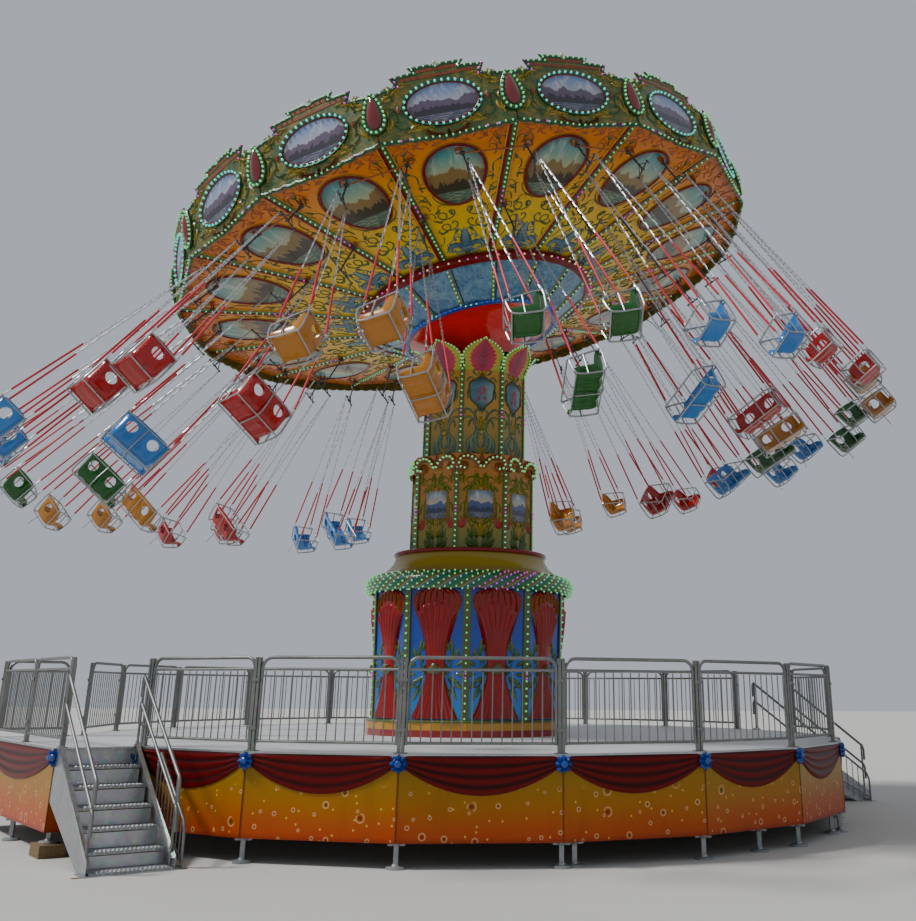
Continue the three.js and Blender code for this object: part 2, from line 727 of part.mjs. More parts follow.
function rimBoards() {
  const half = BOARD_HALF - 8;
  const sector = 2 * BOARD_HALF;
  const plateauHalf = 0.19 * sector;
  const stepHalf = 0.335 * sector;
  const point = 70; // how far the steps' ends overhang
  const stepTop = BOARD_TOP - 120;
  const endTop = 850;
  const right = [
    [0, BOARD_BOTTOM],
    [300, BOARD_BOTTOM + 45],
    [half, BOARD_BOTTOM + 95],
    [half, endTop],
    [stepHalf - point, endTop + 40],
    [stepHalf, stepTop],
    [plateauHalf - point, stepTop + 20],
    [plateauHalf, BOARD_TOP],
  ];
  const left = right.slice(1).map(([x, z]) => [-x, z]);
  const outline = [...right, ...left.reverse()];
  const jewelWidth = 66;
  const jewelLength = 800;
  const jewelMiddle = 410;
  const pieces = [];
  for (let k = 0; k < CROWN_SECTORS; k++) {
    const azimuth = ribAzimuth(k + 0.5);
    pieces.push(
      plate(outline, BOARD_THICKNESS).applyMatrix4(
        frameOf(along(azimuth), UP, outwards(azimuth), polar(BOARD_DISTANCE, azimuth, 0)),
      ),
    );
    const jewel = polar(edgeRadius + jewelWidth / 2 + 2, ribAzimuth(k), jewelMiddle);
    const bracket = box(jewelWidth, jewelWidth, jewelLength).rotateZ(ribAzimuth(k));
    pieces.push(bracket.translate(...jewel.toArray()));
  }
  return pieces;
}

function crownRoof() {
  const skin = 30;
  const seat = ROOF_HUB + RUNNING_GAP;
  const edge = 470;
  const core = 130;
  const profile = [
    [0, seat],
    [core, seat],
    [core, 1500],
    [edgeRadius, edge],
    [edgeRadius, edge + skin],
    [330, 1600],
    [150, 1700],
    [60, 2050],
    [0, 2200],
  ];
  return [turned(profile, CROWN_SECTORS, CROWN_TURN)];
}

// Swings. In its own frame a chair's shaft is at the origin along Y and its chains run down -Z;
// it faces -Y, and X is across the seat.
function chairPieces({ width, reach, stem, spread }) {
  const half = width / 2;
  const seat = -SEAT_DROP - reach;
  const backTop = seat + BACK_HEIGHT;
  const chainBack = [228, backTop - 12];
  const chainFront = [-185, seat];
  const stemSide = 40;
  const spreader = 32;
  // Both chains of a side: a V that opens downwards.
  const link = CHAIN_THICKNESS;
  const crotch = -stem - 400;
  const chains = [
    [0, -stem],
    [chainFront[0] - link / 2, chainFront[1]],
    [chainFront[0] + link / 2, chainFront[1]],
    [6, crotch],
    [chainBack[0] - link / 2, chainBack[1]],
    [chainBack[0] + link / 2, chainBack[1]],
  ];
  const inset = link;
  const sideways = frameOf(new THREE.Vector3(0, 1, 0), UP, ALONG, new THREE.Vector3());
  const side = (sign) => {
    const lean = (half - inset - spread) / (reach - stem);
    const slant = new THREE.Matrix4().makeShear(0, 0, 0, 0, -sign * lean, 0);
    return plate(chains, link)
      .translate(0, 0, -link / 2)
      .applyMatrix4(sideways)
      .applyMatrix4(slant)
      .translate(sign * (spread - lean * stem), 0, 0);
  };
  const shell = [
    [245, backTop],
    [212, backTop],
    [150, seat + 5],
    [-205, seat + 25],
    [-205, seat - 15],
    [190, seat - 35],
  ];
  return [
    box(stemSide, stemSide - 4, stem).translate(0, 0, -stem / 2),
    box(2 * spread + 24, spreader, spreader).translate(0, 0, -stem),
    side(-1),
    side(1),
    plate(shell, width).translate(0, 0, -half).applyMatrix4(sideways),
  ];
}

const flingAt = (kind, azimuth) =>
  FLING[kind] + FLING_SWELL * Math.cos(azimuth - rad(FLING_SWELL_AZIMUTH));

const swings = [];
for (let k = 0; k < CROWN_SECTORS; k++) {
  const azimuth = ribAzimuth(k + HANGER.double);
  swings.push({
    name: `double_swing_${String(k + 1).padStart(2, "0")}`,
    rib: k,
    azimuth,
    radius: INNER_SHAFT_RADIUS,
    height: -INNER_SHAFT_DROP,
    fling: flingAt("double", azimuth),
    shaftHalf: SHAFT_END,
    saddles: [0],
    chairs: [{ kind: "double", offset: 0, lean: 0, splay: 0 }],
  });
}
for (let k = 0; k < CROWN_SECTORS; k++) {
  const azimuth = ribAzimuth(k + PAIR_MIDDLE);
  const own = { middle: ribAzimuth(k + HANGER.middle), outer: ribAzimuth(k + HANGER.outer) };
  const fling = (flingAt("middle", own.middle) + flingAt("outer", own.outer)) / 2;
  const chairs = ["middle", "outer"].map((kind) => ({
    kind,
    offset: OUTER_SHAFT_RADIUS * Math.tan(own[kind] - azimuth),
    lean: PAIR_SHARE * (flingAt(kind, own[kind]) - fling),
    splay: Math.asin(Math.sin(rad(fling)) * Math.sin(PAIR_SHARE * (own[kind] - azimuth))),
  }));
  swings.push({
    name: `single_swings_${String(k + 1).padStart(2, "0")}`,
    rib: k,
    azimuth,
    radius: OUTER_SHAFT_RADIUS,
    height: -OUTER_SHAFT_DROP,
    fling,
    shaftHalf: chairs[1].offset + SHAFT_END,
    saddles: chairs.map(({ offset }) => offset * 1.1),
    chairs,
  });
}

function swingGeometry({ fling: rest, shaftHalf, chairs }) {
  // One of the shaft's corners points at its saddle.
  const shaft = new THREE.CylinderGeometry(SHAFT_THICKNESS, SHAFT_THICKNESS, 2 * shaftHalf, 6);
  shaft.rotateY(rad(rest));
  const placed = (piece, { offset, lean, splay }) =>
    piece.rotateX(splay).rotateY(-rad(lean)).translate(0, offset, 0);
  const pieces = chairs.flatMap((chair) =>
    chairPieces(CHAIRS[chair.kind]).map((piece) => placed(piece, chair)),
  );
  return [shaft, ...pieces];
}

function addSwing(swing) {
  const colour = COLOURS[swing.rib % COLOURS.length];
  const mesh = addMesh(crown, swing.name, swingGeometry(swing), colour, 0.3);
  const fling = rad(swing.fling);
  const out = outwards(swing.azimuth);
  const side = along(swing.azimuth);
  const across = out.clone().multiplyScalar(Math.cos(fling)).addScaledVector(UP, Math.sin(fling));
  const chains = UP.clone().multiplyScalar(Math.cos(fling)).addScaledVector(out, -Math.sin(fling));
  mesh.quaternion.setFromRotationMatrix(new THREE.Matrix4().makeBasis(across, side, chains));
  mesh.position.copy(polar(swing.radius, swing.azimuth, swing.height));
}

// The whole ride
addMesh(ride, "base_frame", baseFrame(), ...STEEL);
addMesh(ride, "deck", deck(), "#a9adb0", 0.4, 0.8);
addMesh(ride, "wood_block", woodBlock(), "#7a6248", 0.9);

// The corners at which skirts and fences meet: the landing's near one, one on the right, and its far one.
const FRONT_FIRST = -2;
const FRONT_LAST = 3;
const REAR_LAST = PLATFORM_SIDES - 4;
const skirtAround = (first, last) => skirt(cornersFrom(first, last, PLATFORM_RADIUS), BEND / 2);
addMesh(ride, "skirt_front", skirtAround(FRONT_FIRST, FRONT_LAST), ...SKIRT_COLOUR);
addMesh(ride, "skirt_right", skirtAround(FRONT_LAST, EXIT_BAY + 1), ...SKIRT_COLOUR);
addMesh(ride, "skirt_rear", skirtAround(EXIT_BAY + 1, REAR_LAST), ...SKIRT_COLOUR);
addMesh(ride, "skirt_landing", skirt(landingCorners(0).reverse()), ...SKIRT_COLOUR);

const fenceInset = 90;
const fenceGap = 220; // between the landing's last post and the platform's fence
const [, fenceNear, fenceFar, fenceEnd] = landingCorners(fenceInset, -fenceGap);
const fenceAround = (first, last, startsAtNeighbour) =>
  fence(cornersFrom(first, last, FENCE_RADIUS), startsAtNeighbour);
addMesh(ride, "fence_front", fenceAround(FRONT_FIRST, FRONT_LAST), ...STEEL);
addMesh(ride, "fence_right", fenceAround(FRONT_LAST, EXIT_BAY, true), ...STEEL);
addMesh(ride, "fence_rear", fenceAround(EXIT_BAY + 1, REAR_LAST), ...STEEL);
addMesh(
  ride,
  "fence_landing",
  fence([fenceEnd, fenceFar, fenceNear.clone().lerp(fenceFar, 0.5), fenceNear]),
  ...STEEL,
);

const entryTop = landingNear.clone().addScaledVector(landingOut, LANDING_WIDTH / 2);
const entry = new THREE.Group();
entry.position.copy(entryTop.addScaledVector(landingBack, -RUNNING_GAP));
entry.rotation.z = Math.atan2(-landingBack.y, -landingBack.x);
ride.add(entry);
addMesh(entry, "entry_stair", [...flight(ENTRY_WIDTH), ...handrails(ENTRY_WIDTH, 1)], ...ALUMINIUM);

const exit = new THREE.Group();
exit.rotation.z = cornerAzimuth(EXIT_BAY + 0.5) - Math.PI / 2;
exit.position.copy(
  outwards(cornerAzimuth(EXIT_BAY + 0.5)).multiplyScalar(
    PLATFORM_RADIUS * Math.cos(Math.PI / PLATFORM_SIDES) + RUNNING_GAP,
  ),
);
ride.add(exit);
addMesh(exit, "exit_stair", [...flight(EXIT_WIDTH), ...handrails(EXIT_WIDTH, -1)], ...ALUMINIUM);

addMesh(ride, "drum_base", drumBase(), "#d9a51c", 0.35);
addMesh(ride, "drum_wall", drumWall(), "#1d3f96", 0.3);
addMesh(ride, "drum_cornice", drumCornice(), "#7a6a2a", 0.35);
addMesh(ride, "mast_post", mastPost(), ...STEEL);
addMesh(ride, "mast_sleeve", mastSleeve(), ...DARK_STEEL);
addMesh(ride, "tower_lower", towerLower(), "#c8831f", 0.4);
addMesh(ride, "tower_upper", towerUpper(), "#8d8a4a", 0.4);
const head = addMesh(crown, "tilt_head", tiltHead(), ...DARK_STEEL);
head.rotation.z = Math.atan2(tiltAxis.y, tiltAxis.x);
addMesh(crown, "crown_underside", crownUnderside(), "#d9a02a", 0.35);
addMesh(crown, "crown_disc", crownDisc(), "#24459c", 0.3);
addMesh(crown, "crown_bell", crownBell(), "#c01f2a", 0.2);
addMesh(crown, "rim_boards", rimBoards(), "#9a7a2c", 0.4);
addMesh(crown, "crown_roof", crownRoof(), "#b8b0a0", 0.6);
swings.forEach(addSwing);

export default ride;
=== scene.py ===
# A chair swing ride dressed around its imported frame: paint, relief, lamps, rails, chains and chairs.
# Metres, +Z up. The origin is on the mast's axis, at the ground.
# An azimuth turns from -Y (the front) towards +X.
import math

import bmesh
import bpy
import numpy as np
from mathutils import Matrix, Vector


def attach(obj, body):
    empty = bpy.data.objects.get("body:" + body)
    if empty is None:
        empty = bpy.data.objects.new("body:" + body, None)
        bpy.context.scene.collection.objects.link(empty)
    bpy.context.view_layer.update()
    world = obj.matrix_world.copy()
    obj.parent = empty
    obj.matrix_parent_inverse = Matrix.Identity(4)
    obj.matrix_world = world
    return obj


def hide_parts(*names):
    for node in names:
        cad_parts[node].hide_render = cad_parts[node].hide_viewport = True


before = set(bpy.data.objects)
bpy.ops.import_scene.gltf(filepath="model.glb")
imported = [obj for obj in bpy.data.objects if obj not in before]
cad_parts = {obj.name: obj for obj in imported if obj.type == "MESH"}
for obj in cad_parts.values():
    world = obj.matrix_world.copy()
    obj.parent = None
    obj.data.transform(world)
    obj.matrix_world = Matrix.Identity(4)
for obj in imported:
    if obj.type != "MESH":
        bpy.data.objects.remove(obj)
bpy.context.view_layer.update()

# The ride's driving sizes, as in the frame
PLATFORM_SIDES = 20
PLATFORM_RADIUS = 6.09
PLATFORM_TURN = -0.1255
DECK_TOP = 1.195
SKIRT_BOTTOM = 0.265
SWAG_FOLDS = 4
EXIT_BAY = 6
# The landing takes the place of the two bays between these corners
NEAR_CORNER = -2
FAR_CORNER = 16
FENCE_RADIUS = 6.0
FENCE_HEIGHT = 1.05
LANDING_WIDTH = 0.98
STAIR_RISERS = 6
STAIR_RUN = 1.77
ENTRY_WIDTH = 0.96
EXIT_WIDTH = 1.10

DRUM_SIDES = 10
DRUM_TURN = math.radians(-1)
DRUM_BOTTOM = 1.40
DRUM_TOP = 3.46
DRUM_LOW_RADIUS = 1.60
BAND_JOINT = 1.295
DRUM_HIGH_RADIUS = 1.645

TOWER_SIDES = 8
TOWER_TURN = math.radians(31)
TOWER_MIDDLE = TOWER_TURN + math.pi / TOWER_SIDES
TOWER_SHARE = math.cos(math.pi / TOWER_SIDES)
TOWER_LOWER_RADIUS = 1.09
TOWER_UPPER_RADIUS = 0.925
TOWER_SHELF = 5.50
TOWER_UPPER_TOP = 7.29
COLLAR_TOP = 4.09
CORNICE_BANDS = 30
CORNICE_LEAN = 3.25
CORNICE_SLANT = 0.34
CREST_RADIUS = 1.137
PETAL_TIP_RADIUS = 1.165
PETAL_TIP = 7.75

TILT_PIVOT = 8.6
TILT = math.radians(13.5)
TILT_AZIMUTH = math.radians(66.8)
CROWN_RISE = 0.75
SECTORS = 16
CROWN_TURN = -1.0357
BOARD_DISTANCE = 5.26
BOARD_THICKNESS = 0.03
UNDERSIDE_INNER = 2.09
UNDERSIDE_KNEE = 3.02
UNDERSIDE_RIM = 5.2
UNDERSIDE_DROP = 0.375
UNDERSIDE_DIP = 0.205
DISC_BOTTOM = -1.16
BOARD_TOP = 1.20
BOARD_BOTTOM = -0.175

OUTER_SHAFT_RADIUS = 4.75
OUTER_SHAFT_DROP = 0.15
INNER_SHAFT_RADIUS = 3.40
INNER_SHAFT_DROP = 0.385
FLING = {"double": 37.2, "middle": 38.5, "outer": 42.8}
FLING_SWELL = 20
FLING_SWELL_AZIMUTH = math.radians(240)
HANGER = {"double": 0.03, "middle": -0.42, "outer": 0.12}
PAIR_SHARE = 0.3
# width, reach from the shaft to the seat, stem, half the spreader bar
CHAIRS = {
    "double": (0.80, 4.30, 0.70, 0.290),
    "middle": (0.45, 4.30, 0.50, 0.165),
    "outer": (0.45, 4.57, 0.50, 0.165),
}
CHAIR_COLOURS = ("blue", "red", "yellow", "green")

UP = np.array((0.0, 0.0, 1.0))
FULL_TURN = 2 * math.pi
ROUND_STEPS = 96
rad = math.radians


def outwards(azimuth):
    return np.array((math.sin(azimuth), -math.cos(azimuth), 0.0))


def along(azimuth):
    return np.array((math.cos(azimuth), math.sin(azimuth), 0.0))


def polar(radius, azimuth, height=0.0):
    return radius * outwards(azimuth) + height * UP


def unit(vector):
    return vector / np.linalg.norm(vector)


def corner(k, radius, height=0.0):
    return polar(radius, PLATFORM_TURN + k * FULL_TURN / PLATFORM_SIDES, height)


def rib_azimuth(k):
    return CROWN_TURN + k * FULL_TURN / SECTORS


def underside_at(radius):
    """Height of the crown's underside at a distance from its axis, measured along a rib."""
    if radius > UNDERSIDE_KNEE:
        return (radius - UNDERSIDE_RIM) * UNDERSIDE_DROP / (UNDERSIDE_RIM - UNDERSIDE_KNEE)
    return (radius - UNDERSIDE_KNEE) * UNDERSIDE_DIP / (UNDERSIDE_KNEE - UNDERSIDE_INNER) - UNDERSIDE_DROP


TILT_TURN = Matrix.Rotation(TILT, 4, Vector(-along(TILT_AZIMUTH)))
CROWN = Matrix.Translation(TILT_TURN @ Vector((0, 0, CROWN_RISE)) + Vector((0, 0, TILT_PIVOT))) @ TILT_TURN


def moved(x, y, z):
    return Matrix.Translation((x, y, z))


def basis(x, y, z, origin):
    """The matrix whose columns are three directions and an origin."""
    matrix = Matrix.Identity(4)
    for i, column in enumerate((x, y, z, origin)):
        for row in range(3):
            matrix[row][i] = column[row]
    return matrix


# Node trees
def operator(operation, reflected=False):
    """A method that adds a Math node for a signal and another value."""

    def operate(self, other):
        values = (other, self) if reflected else (self, other)
        return self.graph.maths(operation, *values)

    return operate


class Signal:
    """A node's output. Arithmetic on it adds Math nodes to its tree."""

    __add__ = __radd__ = operator("ADD")
    __mul__ = __rmul__ = operator("MULTIPLY")
    __sub__ = operator("SUBTRACT")
    __rsub__ = operator("SUBTRACT", True)
    __truediv__ = operator("DIVIDE")
    __rtruediv__ = operator("DIVIDE", True)
    __pow__ = operator("POWER")
    __mod__ = operator("FLOORED_MODULO")
    __gt__ = operator("GREATER_THAN")
    __lt__ = operator("LESS_THAN")

    def __init__(self, graph, socket):
        self.graph = graph
        self.socket = socket

    def __abs__(self):
        return self.graph.maths("ABSOLUTE", self)


class Graph:
    """A node tree that is written as expressions."""

    def __init__(self, tree):
        self.tree = tree

    def node(self, kind, settings=None, **values):
        """Adds a node: its settings first, then its sockets, by name with _ for a space."""
        made = self.tree.nodes.new(kind)
        for key, value in (settings or {}).items():
            setattr(made, key, value)
        for key, value in values.items():
            name = key.replace("_", " ")
            if name.startswith("input "):
                name = int(name[6:])
            self.connect(value, made.inputs[name])
        return made

    def connect(self, value, socket):
        if isinstance(value, Signal):
            self.tree.links.new(value.socket, socket)
        elif value is not None:
            socket.default_value = value

    def out(self, node, name=0):
        return Signal(self, node.outputs[name])

    def maths(self, operation, *values, clamp=False):
        made = self.tree.nodes.new("ShaderNodeMath")
        made.operation = operation
        made.use_clamp = clamp
        for value, socket in zip(values, made.inputs):
            self.connect(value, socket)
        return self.out(made)


PAINT_DEPTH = 1.28
PEEL_DEPTH = 0.0003
PAINT_VALUE = 0.9


def tint(text):
    """A linear colour from its hexadecimal name, deepened because the studio's light pales it."""
    parts = [int(text[i : i + 2], 16) / 255 for i in (1, 3, 5)]
    linear = [c / 12.92 if c <= 0.04045 else ((c + 0.055) / 1.055) ** 2.4 for c in parts]
    grey = 0.2126 * linear[0] + 0.7152 * linear[1] + 0.0722 * linear[2]
    return (*(max(grey + (c - grey) * PAINT_DEPTH, 0.0) * PAINT_VALUE for c in linear), 1.0)


class Paint(Graph):
    """A material in the making."""

    def __init__(self, name):
        self.material = bpy.data.materials.new(name)
        self.material.use_nodes = True
        self.material.node_tree.nodes.clear()
        super().__init__(self.material.node_tree)
        self.place = None

    def where(self):
        """Object coordinates."""
        if self.place is None:
            self.place = self.out(self.node("ShaderNodeTexCoord"), "Object")
        return self.place

    def on_map(self):
        """The piece's own UV map, as two signals."""
        parts = self.node("ShaderNodeSeparateXYZ", Vector=self.out(self.node("ShaderNodeUVMap")))
        return self.out(parts, "X"), self.out(parts, "Y")

    def flat(self, x, y):
        """A vector from two signals."""
        return self.out(self.node("ShaderNodeCombineXYZ", None, X=x, Y=y, Z=0.0))

    def vectors(self, operation, a, b):
        settings = {"operation": operation}
        return self.out(self.node("ShaderNodeVectorMath", settings, input_0=a, input_1=b))

    def axes(self, vector=None):
        parts = self.node("ShaderNodeSeparateXYZ", Vector=vector or self.where())
        return [self.out(parts, i) for i in range(3)]

    def noise(self, scale, detail=4.0, roughness=0.55, distortion=0.0, vector=None, stretch=None):
        vector = vector or self.where()
        if stretch:
            vector = self.vectors("MULTIPLY", vector, stretch)
        made = self.node(
            "ShaderNodeTexNoise", None, Vector=vector, Scale=scale, Detail=detail,
            Roughness=roughness, Distortion=distortion,
        )
        return self.out(made, "Fac")

    def spots(self, scale, vector=None, feature="F1", randomness=1.0, out="Distance"):
        made = self.node("ShaderNodeTexVoronoi", {"feature": feature}, Vector=vector or self.where(),
                         Scale=scale)
        made.inputs["Randomness"].default_value = randomness
        return self.out(made, out)

    def ramp(self, signal, *stops):
        """A colour from a signal: stops are (position, colour name)."""
        made = self.node("ShaderNodeValToRGB", None, Fac=signal)
        ramp = made.color_ramp
        while len(ramp.elements) < len(stops):
            ramp.elements.new(0.5)
        for element, (position, colour) in zip(ramp.elements, stops):
            element.position = position
            element.color = tint(colour)
        return self.out(made, "Color")

    def step(self, signal, low, high):
        """A signal from 0 at low to 1 at high, smoothly."""
        made = self.node("ShaderNodeMapRange", {"interpolation_type": "SMOOTHSTEP"}, Value=signal)
        made.inputs["From Min"].default_value = low
        made.inputs["From Max"].default_value = high
        return self.out(made)

    def mix(self, share, a, b, blend="MIX"):
        a = tint(a) if isinstance(a, str) else a
        b = tint(b) if isinstance(b, str) else b
        made = self.node("ShaderNodeMix", {"data_type": "RGBA", "blend_type": blend}, input_0=share,
                         input_6=a, input_7=b)
        return self.out(made, 2)

    def finish(self, colour, rough=0.4, metal=0.0, bump=None, depth=0.001, coat=0.0, glow=None,
               glow_strength=0.0, shine=0.5):
        """Ends the material in one shader. A bump is a height signal, and depth is its height in metres."""
        colour = tint(colour) if isinstance(colour, str) else colour
        shader = self.node("ShaderNodeBsdfPrincipled", None, Base_Color=colour, Roughness=rough,
                           Metallic=metal)
        shader.inputs["Coat Weight"].default_value = coat
        shader.inputs["Coat Roughness"].default_value = 0.08
        shader.inputs["Specular IOR Level"].default_value = shine
        if glow:
            shader.inputs["Emission Color"].default_value = tint(glow)
            shader.inputs["Emission Strength"].default_value = glow_strength
        if bump is not None:
            made = self.node("ShaderNodeBump", None, Height=bump)
            made.inputs["Strength"].default_value = 1.0
            made.inputs["Distance"].default_value = depth
            self.connect(self.out(made), shader.inputs["Normal"])
        output = self.node("ShaderNodeOutputMaterial")
        self.connect(self.out(shader), output.inputs["Surface"])
        return self.material

    def enamel(self, colour, rough, coat, peel=110, shine=0.5):
        """Ends the material as sprayed enamel, with its orange peel."""
        return self.finish(colour, rough, 0.0, self.noise(peel, 2), PEEL_DEPTH, coat, shine=shine)


# Finishes
def gloss_paint(name, colour, dark=None, rough=0.28, coat=0.5, streak=0.25, shine=0.5):
    """Sprayed enamel: faint mottling, grime that runs down, orange peel."""
    paint = Paint(name)
    base = paint.mix(paint.noise(1.7, 5), colour, dark or colour)
    grime = paint.step(paint.noise(6, 6, stretch=(1, 1, 0.15)), 0.55, 0.85) * streak
    worn = paint.mix(grime, base, "#3a3022", "MULTIPLY")
    return paint.finish(worn, paint.noise(9, 3) * 0.2 + rough - 0.1, 0.0, paint.noise(140, 2), 0.0004, coat,
                        shine=shine)


def metal_finish(name, colour, dark, rough=0.35, metal=0.85, scale=30.0, stretch=None):
    """Bare or galvanised metal with spangle and dull patches."""
    paint = Paint(name)
    spangle = paint.spots(scale, out="Color")
    patches = paint.mix(paint.noise(3, 5, stretch=stretch), dark, colour)
    base = paint.mix(0.12, patches, spangle, "OVERLAY")
    roughness = paint.noise(scale * 0.7, 4, stretch=stretch) * 0.3 + rough - 0.12
    return paint.finish(base, roughness, metal, paint.noise(scale * 4, 3, stretch=stretch), 0.0004)


def tread_finish(name, colour, dark, pitch, metal, rough=0.35):
    """Chequer plate: short raised bars laid in alternate directions."""
    paint = Paint(name)
    x, y, _ = paint.axes()
    column = paint.maths("FLOOR", x / pitch)
    row = paint.maths("FLOOR", y / pitch)
    turn = (column + row) % 2.0
    u = (x / pitch) % 1.0 - 0.5
    v = (y / pitch) % 1.0 - 0.5
    wide = abs(u * turn + v * (1 - turn))
    thin = abs(v * turn + u * (1 - turn))
    bar = paint.step(wide, 0.44, 0.34) * paint.step(thin, 0.17, 0.06)
    dirt = paint.noise(2.2, 6)
    base = paint.mix(bar * 0.5 + dirt * 0.6, dark, colour)
    return paint.finish(base, dirt * 0.25 + rough - bar * 0.12, metal, bar, 0.003)


def timber_finish():
    paint = Paint("weathered_timber")
    grain = paint.noise(9, 8, 0.65, 1.5, stretch=(0.6, 6, 9))
    rings = paint.noise(40, 5, 0.6, 0.4, stretch=(0.2, 5, 5))
    base = paint.ramp(grain * 0.6 + rings * 0.4, (0.3, "#3d3225"), (0.5, "#77634a"), (0.72, "#a08c6e"))
    return paint.finish(base, 0.85, 0.0, rings, 0.002)


def skirt_finish():
    """Sprayed panels: golden at the top, orange at the foot, with ringed bubbles and small stars."""
    paint = Paint("skirt_spray")
    x, y, z = paint.axes()
    height = (z - SKIRT_BOTTOM) / (DECK_TOP - SKIRT_BOTTOM)
    cloud = paint.noise(2.4, 4) * 0.24 - 0.12
    base = paint.ramp(
        height + cloud, (0.0, "#a24606"), (0.18, "#a65606"), (0.42, "#9e6c06"), (0.7, "#927206"),
        (1.0, "#866c06"),
    )
    # Bubbles: one to a cell, laid out over the azimuth and the height
    round_about = paint.maths("ARCTAN2", x, y) * PLATFORM_RADIUS
    flat = paint.flat(round_about, z)
    made = paint.node("ShaderNodeTexVoronoi", {"voronoi_dimensions": "2D"}, Vector=flat, Scale=4.3)
    made.inputs["Randomness"].default_value = 0.9
    far = paint.out(made, "Distance")
    pick = paint.axes(paint.out(made, "Color"))
    size = pick[0] ** 2.5 * 0.17 + 0.055
    low = paint.step(height, 0.68, 0.5) * (pick[1] > 0.2)
    ring = paint.step(far - size, 0.045, 0.015) * paint.step(far - size, -0.055, -0.02)
    core = paint.step(far - size * 0.5, 0.02, -0.02)
    base = paint.mix(ring * low * 0.6, base, "#e0b890")
    base = paint.mix(core * low * 0.9, base, paint.mix(pick[2], "#2f4a1e", "#7d1a12"))
    stars = paint.node("ShaderNodeTexVoronoi", {"voronoi_dimensions": "2D"}, Vector=flat, Scale=7.0)
    star = paint.step(paint.out(stars, "Distance"), 0.13,
                      0.0) * (paint.axes(paint.out(stars, "Color"))[0] > 0.7)
    base = paint.mix(star * paint.step(height, 0.7, 0.5) * 0.8, base, "#f3dc8a")
    grime = paint.step(paint.noise(5, 6, stretch=(1, 1, 0.2)), 0.5, 0.85) * 0.2
    grime = grime + paint.step(height, 0.07, 0.0) * 0.35
    base = paint.mix(grime, base, "#6a4a28", "MULTIPLY")
    return paint.enamel(base, paint.noise(7, 3) * 0.15 + 0.3, 0.08, 120, 0.2)


def swag_finish():
    """Dark red drapery: painted shade in the troughs of the folds and under the hem, and a painted highlight
    on the ridges. The map's second direction runs down across the folds.
    """
    paint = Paint("swag_red")
    _, v = paint.on_map()
    # Painted shade in the troughs between the folds and a painted highlight on their ridges, in step with
    # the relief
    painted_fold_light = paint.maths("SINE", v * (FULL_TURN * SWAG_FOLDS) - math.pi / 2) * 0.5 + 0.5
    base = paint.ramp(painted_fold_light + paint.noise(8, 3) * 0.3 - 0.15, (0.0, "#2e0306"), (0.4, "#4a0508"),
                      (1.0, "#640a0d"))
    # Painted shade on the underside of the lower hem
    base = paint.mix(paint.step(v, 0.93, 0.98), base, "#230305")
    return paint.enamel(base, 0.4, 0.05, 160, 0.15)


def ornament_finish(name, edge, middle, tip, rough=0.4):
    """Carved and painted strokes: dark along both edges, light on the ridge, changing towards the tip."""
    paint = Paint(name)
    u, v = paint.on_map()
    ridge = 1 - abs(v * 2 - 1)
    body = paint.mix(paint.step(u, 0.25, 0.95), middle, tip)
    base = paint.mix(paint.step(ridge + paint.noise(30, 2) * 0.2, 0.12, 0.75), edge, body)
    grime = paint.noise(5, 5) * 0.35
    base = paint.mix(grime, base, "#4a3c1e", "MULTIPLY")
    return paint.finish(base, rough, 0.0, paint.noise(90, 3), 0.0006, 0.25)


def underside_finish():
    """The crown's underside: yellow within, orange at the rim, with painted shade beside the ribs."""
    paint = Paint("crown_yellow_spray")
    u, v = paint.on_map()
    cloud = paint.noise(1.6, 5, 0.6, 0.8)
    base = paint.ramp(v + cloud * 0.3 - 0.15, (0.0, "#ecd660"), (0.35, "#e8c034"), (0.62, "#e6a416"),
                      (0.85, "#de8a0c"), (1.0, "#d4780a"))
    # Painted shade beside the ribs: brown towards each sector's sides
    side = abs(u * 2 - 1)
    base = paint.mix(paint.step(side + cloud * 0.25 - 0.12, 0.66, 1.05) * 0.38, base, "#8d4a0c")
    veil = paint.step(paint.noise(7, 6, 0.65, 2.2), 0.52, 0.66) * 0.35
    base = paint.mix(veil, base, "#7d6f1d")
    return paint.enamel(base, cloud * 0.2 + 0.28, 0.2, shine=0.35)


def board_finish():
    """The rim's boards: olive green and gold, brushed into each other."""
    paint = Paint("rim_board_spray")
    swirl = paint.noise(2.6, 5, 0.6, 2.6)
    fine = paint.noise(9, 5, 0.6, 1.8)
    base = paint.ramp(
        swirl * 0.7 + fine * 0.3, (0.30, "#1d4028"), (0.43, "#3a5430"), (0.52, "#5f6230"),
        (0.60, "#8a7226"), (0.70, "#2f4a30"),
    )
    return paint.finish(base, fine * 0.2 + 0.28, 0.0, fine, 0.0015, 0.3)


def tower_finish(name, bottom, top, low, high):
    """Tower panels: one colour fading into another up the tower."""
    paint = Paint(name)
    _, _, z = paint.axes()
    height = (z - low) / (high - low)
    cloud = paint.noise(3.2, 5, 0.6, 1.0)
    base = paint.mix(paint.step(height + cloud * 0.4 - 0.2, 0.0, 1.0), bottom, top)
    veil = paint.step(paint.noise(6, 6, 0.65, 2.4), 0.5, 0.68) * 0.4
    base = paint.mix(veil, base, "#5d5c26")
    return paint.enamel(base, cloud * 0.2 + 0.28, 0.35)


def drum_finish():
    paint = Paint("drum_blue_spray")
    _, _, z = paint.axes()
    height = (z - DRUM_BOTTOM) / (DRUM_TOP - DRUM_BOTTOM)
    cloud = paint.noise(2.2, 4)
    base = paint.ramp(height + cloud * 0.3 - 0.15, (0.0, "#3d86c6"), (0.3, "#2263b4"), (0.55, "#1645a0"),
                      (1.0, "#12338c"))
    return paint.enamel(base, cloud * 0.15 + 0.22, 0.5)


